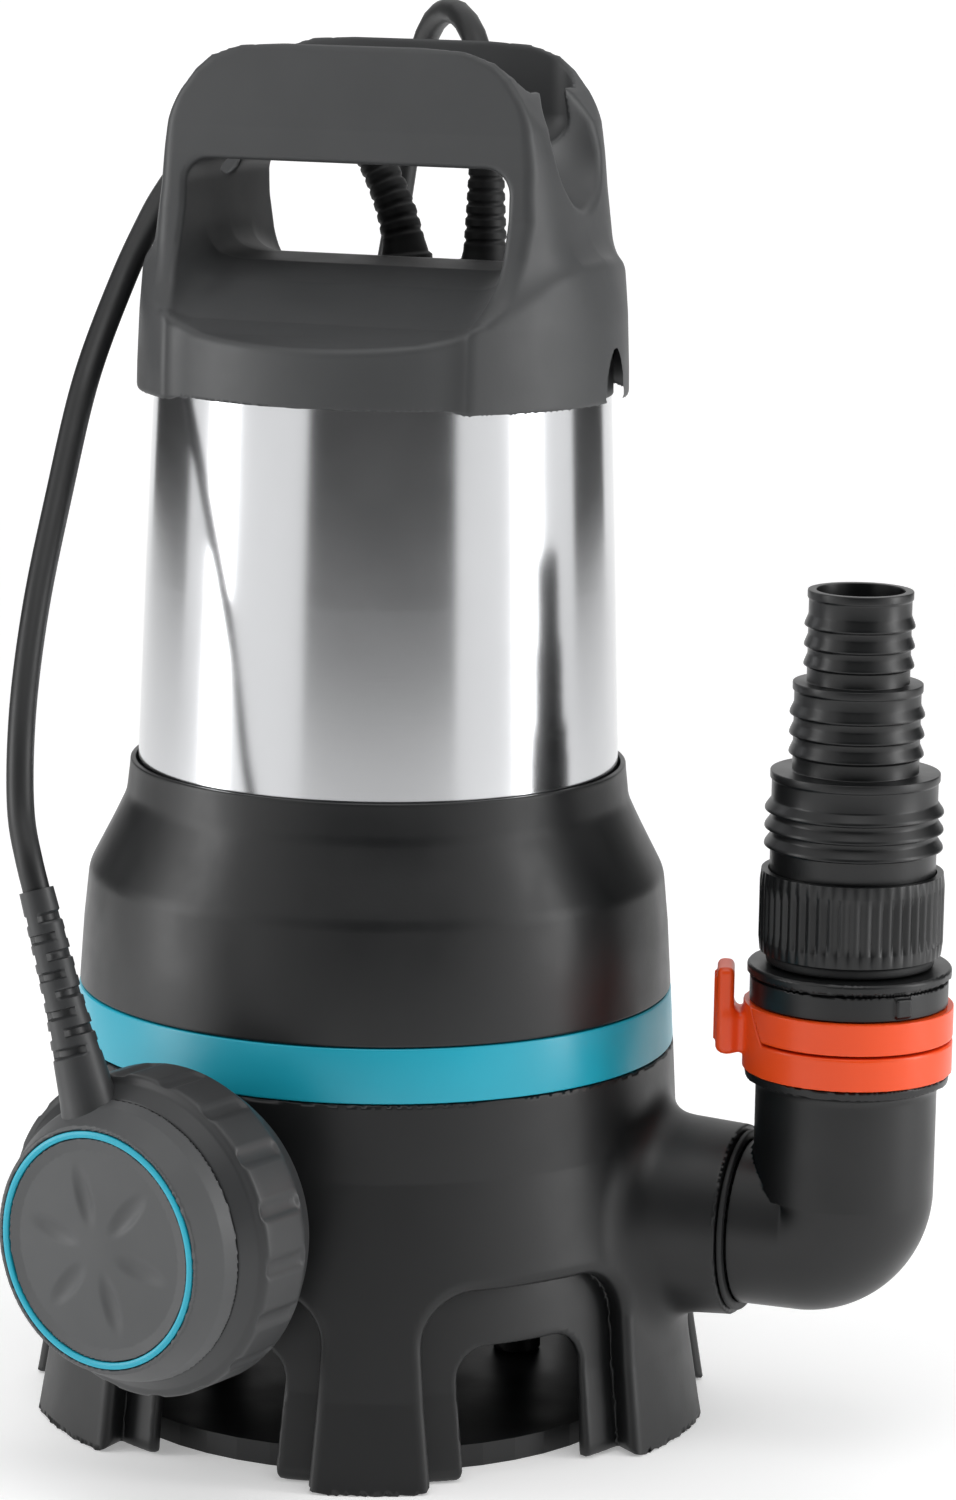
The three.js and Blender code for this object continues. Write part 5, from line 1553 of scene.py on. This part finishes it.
@dataclass(frozen=True)
class Cords:
    """Mains lead with its coil and plug, the float's cord, and the sleeves where both leave the cap."""

    coil: Coil = field(default_factory=Coil)
    radius: float = 3.7
    mains_length: float = 10.0
    mains_exit: tuple[float, float, float] = (14.7, 42.6, 357.2)
    float_exit: tuple[float, float, float] = (-27.4, 48.2, 361.4)
    lead: tuple[tuple[float, float, float], ...] = (
        (14.7, 42.6, 357.4),
        (14.6, 42.7, 366),
        (11.9, 46, 380),
        (4.3, 55.2, 391.6),
        (-6.2, 67.8, 396),
        (-16.6, 80.4, 391.6),
        (-24.2, 89.6, 379.7),
        (-27.6, 92.6, 363),
        (-30.6, 93, 342),
        (-38, 93.5, 300),
        (-49, 93, 240),
        (-60, 91.5, 180),
        (-71, 88.5, 125),
        (-79, 85.5, 85),
        (-83, 84, 58),
        (-81.5, 84.6, 34),
        (-74, 87.5, 16),
        (-61, 92.5, 7.2),
        (-47, 97.9, 5.6),
    )
    tail: tuple[tuple[float, float, float], ...] = (
        (55, -34, 41.6),
        (57.6, -18.5, 43.9),
        (58.5, -3, 44.6),
        (55, 14, 46.4),
        (46, 29, 50.4),
        (33, 40, 54.6),
        (18, 45, 57.6),
        (4.6, 46, 58.6),
    )
    swing: tuple[tuple[float, float, float], ...] = (
        (-27.6, 48.3, 361.6),
        (-36, 50.6, 367.2),
        (-46, 49.5, 369),
        (-55.5, 42.5, 366),
        (-63, 31.5, 360),
        (-68, 19, 352.5),
        (-70.5, 6, 343),
        (-70.8, -7, 333.4),
        (-70.6, -21.5, 321.8),
        (-70.8, -45.4, 296.7),
        (-69.2, -67.3, 266.4),
        (-66.9, -87.8, 236.5),
        (-63.4, -103.6, 209),
        (-58.9, -113.6, 186),
    )
    hinge_start: tuple[float, float, float] = (-69.5, 12.0, 348.0)
    hinge_end: tuple[float, float, float] = (-70.8, -7.0, 333.4)
    plug_turn: float = 184.0

    def mains_path(self) -> np.ndarray:
        """Centreline of the mains lead, from the sleeve to the plug."""
        coil = self.coil.path()
        lead = spline([*self.lead, tuple(coil[0])], 70)
        x, y = self.coil.centre
        tail = spline([tuple(coil[-1]), *((x + a, y + b, c) for a, b, c in self.tail)], 26)
        return np.vstack([lead[:-1], coil, tail[1:]])

    def mains(self) -> None:
        """Makes the mains lead as one open curve.
        """
        path = self.mains_path()
        data = bpy.data.curves.new("mains_lead", "CURVE")
        data.dimensions = "3D"
        data.bevel_depth = self.radius * MM
        data.bevel_resolution = 5
        data.use_fill_caps = True
        line = data.splines.new("POLY")
        line.points.add(len(path) - 1)
        for point, spot in zip(line.points, path, strict=True):
            point.co = (*(float(v) * MM for v in spot), 1.0)
        line.use_smooth = True
        lead = bpy.data.objects.new("mains_lead", data)
        bpy.context.scene.collection.objects.link(lead)
        dress(lead, SHEATH_RUBBER, Body.PUMP.value, "power_cable", "power_coil", "power_tail")
        length = float(np.linalg.norm(np.diff(path, axis=0), axis=1).sum())
        LOG.info("mains lead is %.2f m long", length * MM)

    def float_cord(self, float_frame: Matrix) -> None:
        """Makes the float's cord as one fixed sweep from the pump to the float.

        Args:
            float_frame: The float's own frame.
        """
        tip = float_frame @ Vector((0, 95.8, 13.9))
        near = float_frame @ Vector((0, 104.5, 13.9))
        path = spline([*self.swing, tuple(near), tuple(tip)], 110)
        cord = sweep("float_cord", path, self.radius, 24)
        cord.data.materials.append(SHEATH_RUBBER.build())
        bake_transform(cord)
        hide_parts("float_cable_fixed", "float_cable")

    def sleeves(self) -> None:
        """Makes the ribbed bend sleeves."""
        heights = np.linspace(323.5, 357, 120)
        radii = np.interp(heights, [323.5, 326.3, 326.6, 329, 357], [7.9, 7.9, 6.9, 6.3, 4.9])
        groove = 0.55 * np.clip(
            np.sin((heights - 331) * 2 * np.pi / 3.6), 0, 1
        ) * (heights > 331) * (heights < 353)
        outline = [(0.0, 323.5), *zip((radii - groove).tolist(), heights.tolist(), strict=True), (0.0, 357.0)]
        sleeve = lathe("mains_sleeve", outline, 64, closed=False)
        dress(
            place(sleeve, Matrix.Translation((14.7, 42.1, 0))), SEAL_RUBBER, Body.PUMP.value, "power_sleeve"
        )
        route = [
            (-9.7, 42, 323.6), (-9.9, 42.1, 327), (-10.9, 42.4, 332), (-14, 43.5, 341), (-20, 45.5, 352),
            (-27, 48, 361)
        ]
        path = spline(route, 130)
        share = np.linspace(0, 1, 130)
        size = np.interp(share, [0, 0.07, 0.085, 0.16, 1], [7.9, 7.9, 6.9, 6.2, 4.8])
        size = size - 0.5 * np.clip(
            np.sin((share - 0.2) * 2 * np.pi * 11), 0, 1
        ) * (share > 0.2) * (share < 0.92)
        dress(sweep("float_sleeve_ribbed", path, size, 40), SEAL_RUBBER, Body.PUMP.value, "float_sleeve")

    def plug(self) -> list[bpy.types.Object]:
        """Makes the plug and its two pins.

        Returns:
            The three pieces.
        """
        x, y = self.coil.centre
        turn = math.radians(self.plug_turn)
        way = (math.cos(turn), math.sin(turn), 0)
        side = (-math.sin(turn), math.cos(turn), 0)
        origin = (x + 3 + 0.6 * way[0], y + 46 + 0.6 * way[1], 58.6)
        frame = axis_matrix(origin, side, (0, 0, 1), way)
        neck = np.linspace(0, 20, 50)
        ribs = 0.7 * np.clip(np.sin(neck * 2 * np.pi / 3.6), 0, 1) * (neck > 2) * (neck < 18)
        neck_radii = np.interp(neck, [0, 20], [5.0, 7.6]) - ribs
        body = [
            (0.0, 0.0),
            *zip(neck_radii.tolist(), neck.tolist(), strict=True),
            (11.0, 21.0),
            (15.2, 25.0),
            (17.2, 31.0),
            (17.9, 38.0),
            (17.9, 52.0),
            (17.3, 56.0),
            (0.0, 56.0),
        ]
        shell = lathe("plug_moulding", soften(body, 0.6, 3), 96, closed=False, swell=self.grips)
        dress(place(shell, frame), SHEATH_RUBBER, Body.PUMP.value, "plug_body")
        made = [shell]
        for i, shift in enumerate((-9.5, 9.5)):
            outline = [(0.0, 56.3), (2.35, 56.3), (2.35, 73.2), (1.9, 74.7), (0.9, 75.3), (0.0, 75.3)]
            pin = lathe(f"plug_pin_{i + 1}_turned", soften(outline, 0.3, 3), 40, closed=False)
            pin_frame = frame @ Matrix.Translation((shift, 0, 0))
            dress(place(pin, pin_frame), NICKELLED_BRASS, Body.PUMP.value, f"plug_pin_{i + 1}")
            made.append(pin)
        return made

    @staticmethod
    def grips(angles: np.ndarray, radii: np.ndarray, heights: np.ndarray) -> np.ndarray:
        """Finger grooves on the plug's two sides."""
        ridge = np.clip(np.cos(angles * 2), 0, 1) ** 2 * np.clip(np.sin(heights * 2 * np.pi / 4), 0, 1)
        return radii - np.where((radii > 14) & (heights > 30) & (heights < 51), 0.8, 0) * ridge

    def tie(self) -> bpy.types.Object:
        """Makes the rubber strap round the coil.

        Returns:
            The strap.
        """

        bearing, middle, half, corner = 230, (60.0, 21.4), (14.6, 10.0), 9.6

        def strap(p: Points) -> np.ndarray:
            """Signed distance to the strap: a rounded loop with its head outside."""
            local = turn_z(p - np.array([*self.coil.centre, 0], np.float32), bearing)
            q = np.abs(local[:, [0, 2]] - np.array(middle, np.float32)) - np.array(half, np.float32)
            outside = np.hypot(np.maximum(q[:, 0], 0), np.maximum(q[:, 1], 0))
            loop = outside + np.minimum(q.max(axis=1), 0) - corner
            band = np.abs(loop - 0.75) - 0.6
            head = block(local, (84.6, 0, 30), (1.6, 4.4, 4.5), 1)
            band = blend_max(band, np.abs(local[:, 1]) - 3.6, 0.7)
            return blend_min(band, head, 1)

        reach = (-134, 108, 0)
        made = Mould(strap, reach, (-84, 168, 43), 0.55).mesh("coil_strap")
        return dress(made, SEAL_RUBBER, Body.PUMP.value, "coil_tie")

    def build(self, float_frame: Matrix) -> None:
        """Makes both cords and all that lies on them.

        Args:
            float_frame: The float's own frame.
        """
        pieces = [*self.plug(), self.tie()]
        self.mains()
        self.float_cord(float_frame)
        self.sleeves()


# ---------------------------------------------------------------- hidden pieces


@dataclass(frozen=True)
class Internals:
    """The sealed-in pieces, which keep the frame's own shapes and get their finishes here."""

    finishes: dict[str, Finish] = field(
        default_factory=lambda: {
            "foot_plate": CASING_PLASTIC,
            "foot_screw": PLAIN_STEEL,
            "shaft": PLAIN_STEEL,
            "rotor_core": LAMINATED_STEEL,
            "stator_core": LAMINATED_STEEL,
            "winding": COPPER_WINDING,
            "bearing_shield": CAST_ALUMINIUM,
            "bearing": PLAIN_STEEL,
            "oil_chamber_cover": CAST_ALUMINIUM,
            "seal_fixed": SEAL_CERAMIC,
            "seal_turning": SEAL_CERAMIC,
            "impeller_nut": PLAIN_STEEL,
            "impeller": CASING_PLASTIC,
            "tie_bolt": PLAIN_STEEL,
            "cover_screw": PLAIN_STEEL,
            "capacitor": WHITE_PLASTIC,
            "terminal_block": WHITE_PLASTIC,
            "float_microswitch": WHITE_PLASTIC,
            "float_ball": PLAIN_STEEL,
        }
    )

    def build(self, nodes: dict[str, bpy.types.Object]) -> None:
        """Gives each kept piece its finish.

        Args:
            nodes: The frame's nodes by name.
        """
        for name, node in nodes.items():
            keys = [key for key in self.finishes if name.startswith(key)]
            if not keys:
                continue
            finish = self.finishes[max(keys, key=len)]
            node.data.materials.clear()
            node.data.materials.append(finish.build())
            LOG.info("%s keeps its shape", name)


# ---------------------------------------------------------------- studio


@dataclass(frozen=True)
class Panel:
    """One soft light: where it hangs as azimuth, height and distance in metres, its size and its power."""

    name: str
    azimuth: float
    height: float
    distance: float
    width: float
    tall: float
    power: float


@dataclass(frozen=True)
class Studio:
    """Camera, floor, backdrop and the soft panels."""

    eye: tuple[float, float, float] = (498.5, -1298.6, 451.2)
    look: tuple[float, float, float] = (-0.3334, 0.9245, -0.1849)
    roll: float = 0.937
    lens: float = 118.93
    sensor: float = 36.0
    camera_azimuth: float = 21.0
    ambient: float = 0.85
    paper_glow: float = 0.3
    paper_radius: float = 14.0
    flags: tuple[tuple[float, float], ...] = ((-36.0, 36.0), (-152.0, -108.0), (108.0, 142.0))
    flag_distance: float = 2.2
    flag_heights: tuple[float, float] = (0.0, 2.2)
    panels: tuple[Panel, ...] = (
        Panel("left_panel", -83.0, 0.35, 1.3, 0.34, 1.3, 8.0),
        Panel("right_panel", 75.0, 0.35, 1.3, 0.34, 1.3, 8.0),
        Panel("top_panel", 10.0, 1.9, 0.6, 0.9, 0.9, 5.0),
    )

    def camera(self) -> None:
        """Places the camera."""
        data = bpy.data.cameras.new("camera")
        data.lens = self.lens
        data.sensor_width = self.sensor
        data.clip_end = 60
        ahead = Vector(self.look).normalized()
        level = ahead.cross(Vector((0, 0, 1))).normalized()
        rise = level.cross(ahead)
        c, s = math.cos(math.radians(self.roll)), math.sin(math.radians(self.roll))
        right, up = c * level + s * rise, c * rise - s * level
        made = bpy.data.objects.new("camera", data)
        bpy.context.scene.collection.objects.link(made)
        made.matrix_world = axis_matrix([v * MM for v in self.eye], right, up, -ahead)
        bpy.context.scene.camera = made

    def light(self, panel: Panel) -> None:
        """Hangs one panel, facing the pump."""
        data = bpy.data.lights.new(panel.name, "AREA")
        data.shape = "RECTANGLE"
        data.size, data.size_y, data.energy = panel.width, panel.tall, panel.power
        turn = math.radians(panel.azimuth + self.camera_azimuth)
        spot = Vector((math.sin(turn) * panel.distance, -math.cos(turn) * panel.distance, panel.height))
        made = bpy.data.objects.new(panel.name, data)
        bpy.context.scene.collection.objects.link(made)
        made.location = spot
        made.rotation_euler = (Vector((0, 0, 0.2)) - spot).to_track_quat("-Z", "Y").to_euler()

    def flag(self, start: float, end: float) -> None:
        """Hangs a dark cloth that the polished tube mirrors, out of the camera's sight.

        Args:
            start: Azimuth of one edge from the camera's, in degrees.
            end: Azimuth of the other.
        """
        points, count = [], 13
        for azimuth in np.linspace(start, end, count):
            turn = math.radians(azimuth + self.camera_azimuth)
            for height in self.flag_heights:
                reach = self.flag_distance
                points.append((math.sin(turn) * reach / MM, -math.cos(turn) * reach / MM, height / MM))
        faces = [[2 * i, 2 * i + 1, 2 * i + 3, 2 * i + 2] for i in range(count - 1)]
        cloth = new_mesh("dark_cloth", np.array(points), faces)
        cloth.data.materials.append(Finish("black_studio_cloth", "", "2e2e2e", 0.9).build())
        cloth.visible_camera = False
        cloth.visible_shadow = False
        cloth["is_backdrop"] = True

    def paper(self) -> None:
        """Lays the round sheet of pale paper that the pump stands on."""
        turns = np.linspace(0, 2 * np.pi, 96, endpoint=False)
        reach = self.paper_radius / MM
        points = np.stack([reach * np.cos(turns), reach * np.sin(turns), np.full(96, -0.05)], axis=1)
        paper = new_mesh("studio_paper", points, [list(range(96))])
        material = bpy.data.materials.new("white_studio_paper")
        material.use_nodes = True
        tree = material.node_tree
        tree.nodes.clear()
        shader = add_node(
            tree,
            "ShaderNodeBsdfPrincipled",
            {
                "Base Color": srgb("f4f4f4"),
                "Roughness": 0.7,
                "Emission Color": (1.0, 1.0, 1.0, 1.0),
                "Emission Strength": self.paper_glow,
            },
        )
        add_node(tree, "ShaderNodeOutputMaterial", links={"Surface": shader.outputs["BSDF"]})
        paper.data.materials.append(material)
        paper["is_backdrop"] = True

    def build(self) -> None:
        """Sets up the studio."""
        world = bpy.data.worlds.new("studio")
        world.use_nodes = True
        world.node_tree.nodes["Background"].inputs["Color"].default_value = (self.ambient,) * 3 + (1.0,)
        bpy.context.scene.world = world
        bpy.context.scene.view_settings.view_transform = "Standard"
        self.paper()
        for start, end in self.flags:
            self.flag(start, end)
        for panel in self.panels:
            self.light(panel)


def write_size(moment: str, sizes: dict[str, Any]) -> None:
    """Notes the model's bounds.

    Args:
        moment: When they were taken.
        sizes: The bounds noted so far, which this adds to.
    """
    low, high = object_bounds()
    sizes[moment] = {"low": [float(v) for v in low], "high": [float(v) for v in high]}


def main() -> None:
    """Builds the pump's looks and the studio round it."""
    logging.basicConfig(level=logging.INFO, format="%(name)s: %(message)s")
    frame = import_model()
    sizes: dict[str, Any] = {}
    write_size("frame", sizes)
    studio = Studio()
    studio.camera()
    switch = FloatSwitch()
    Cords().build(switch.matrix())
    Handle().build()
    Casing().build()
    Housing().build()
    Outlet().build()
    switch.build()
    Internals().build(frame["nodes"])
    studio.build()
    write_size("visual", sizes)


if __name__ == "__main__":
    main()
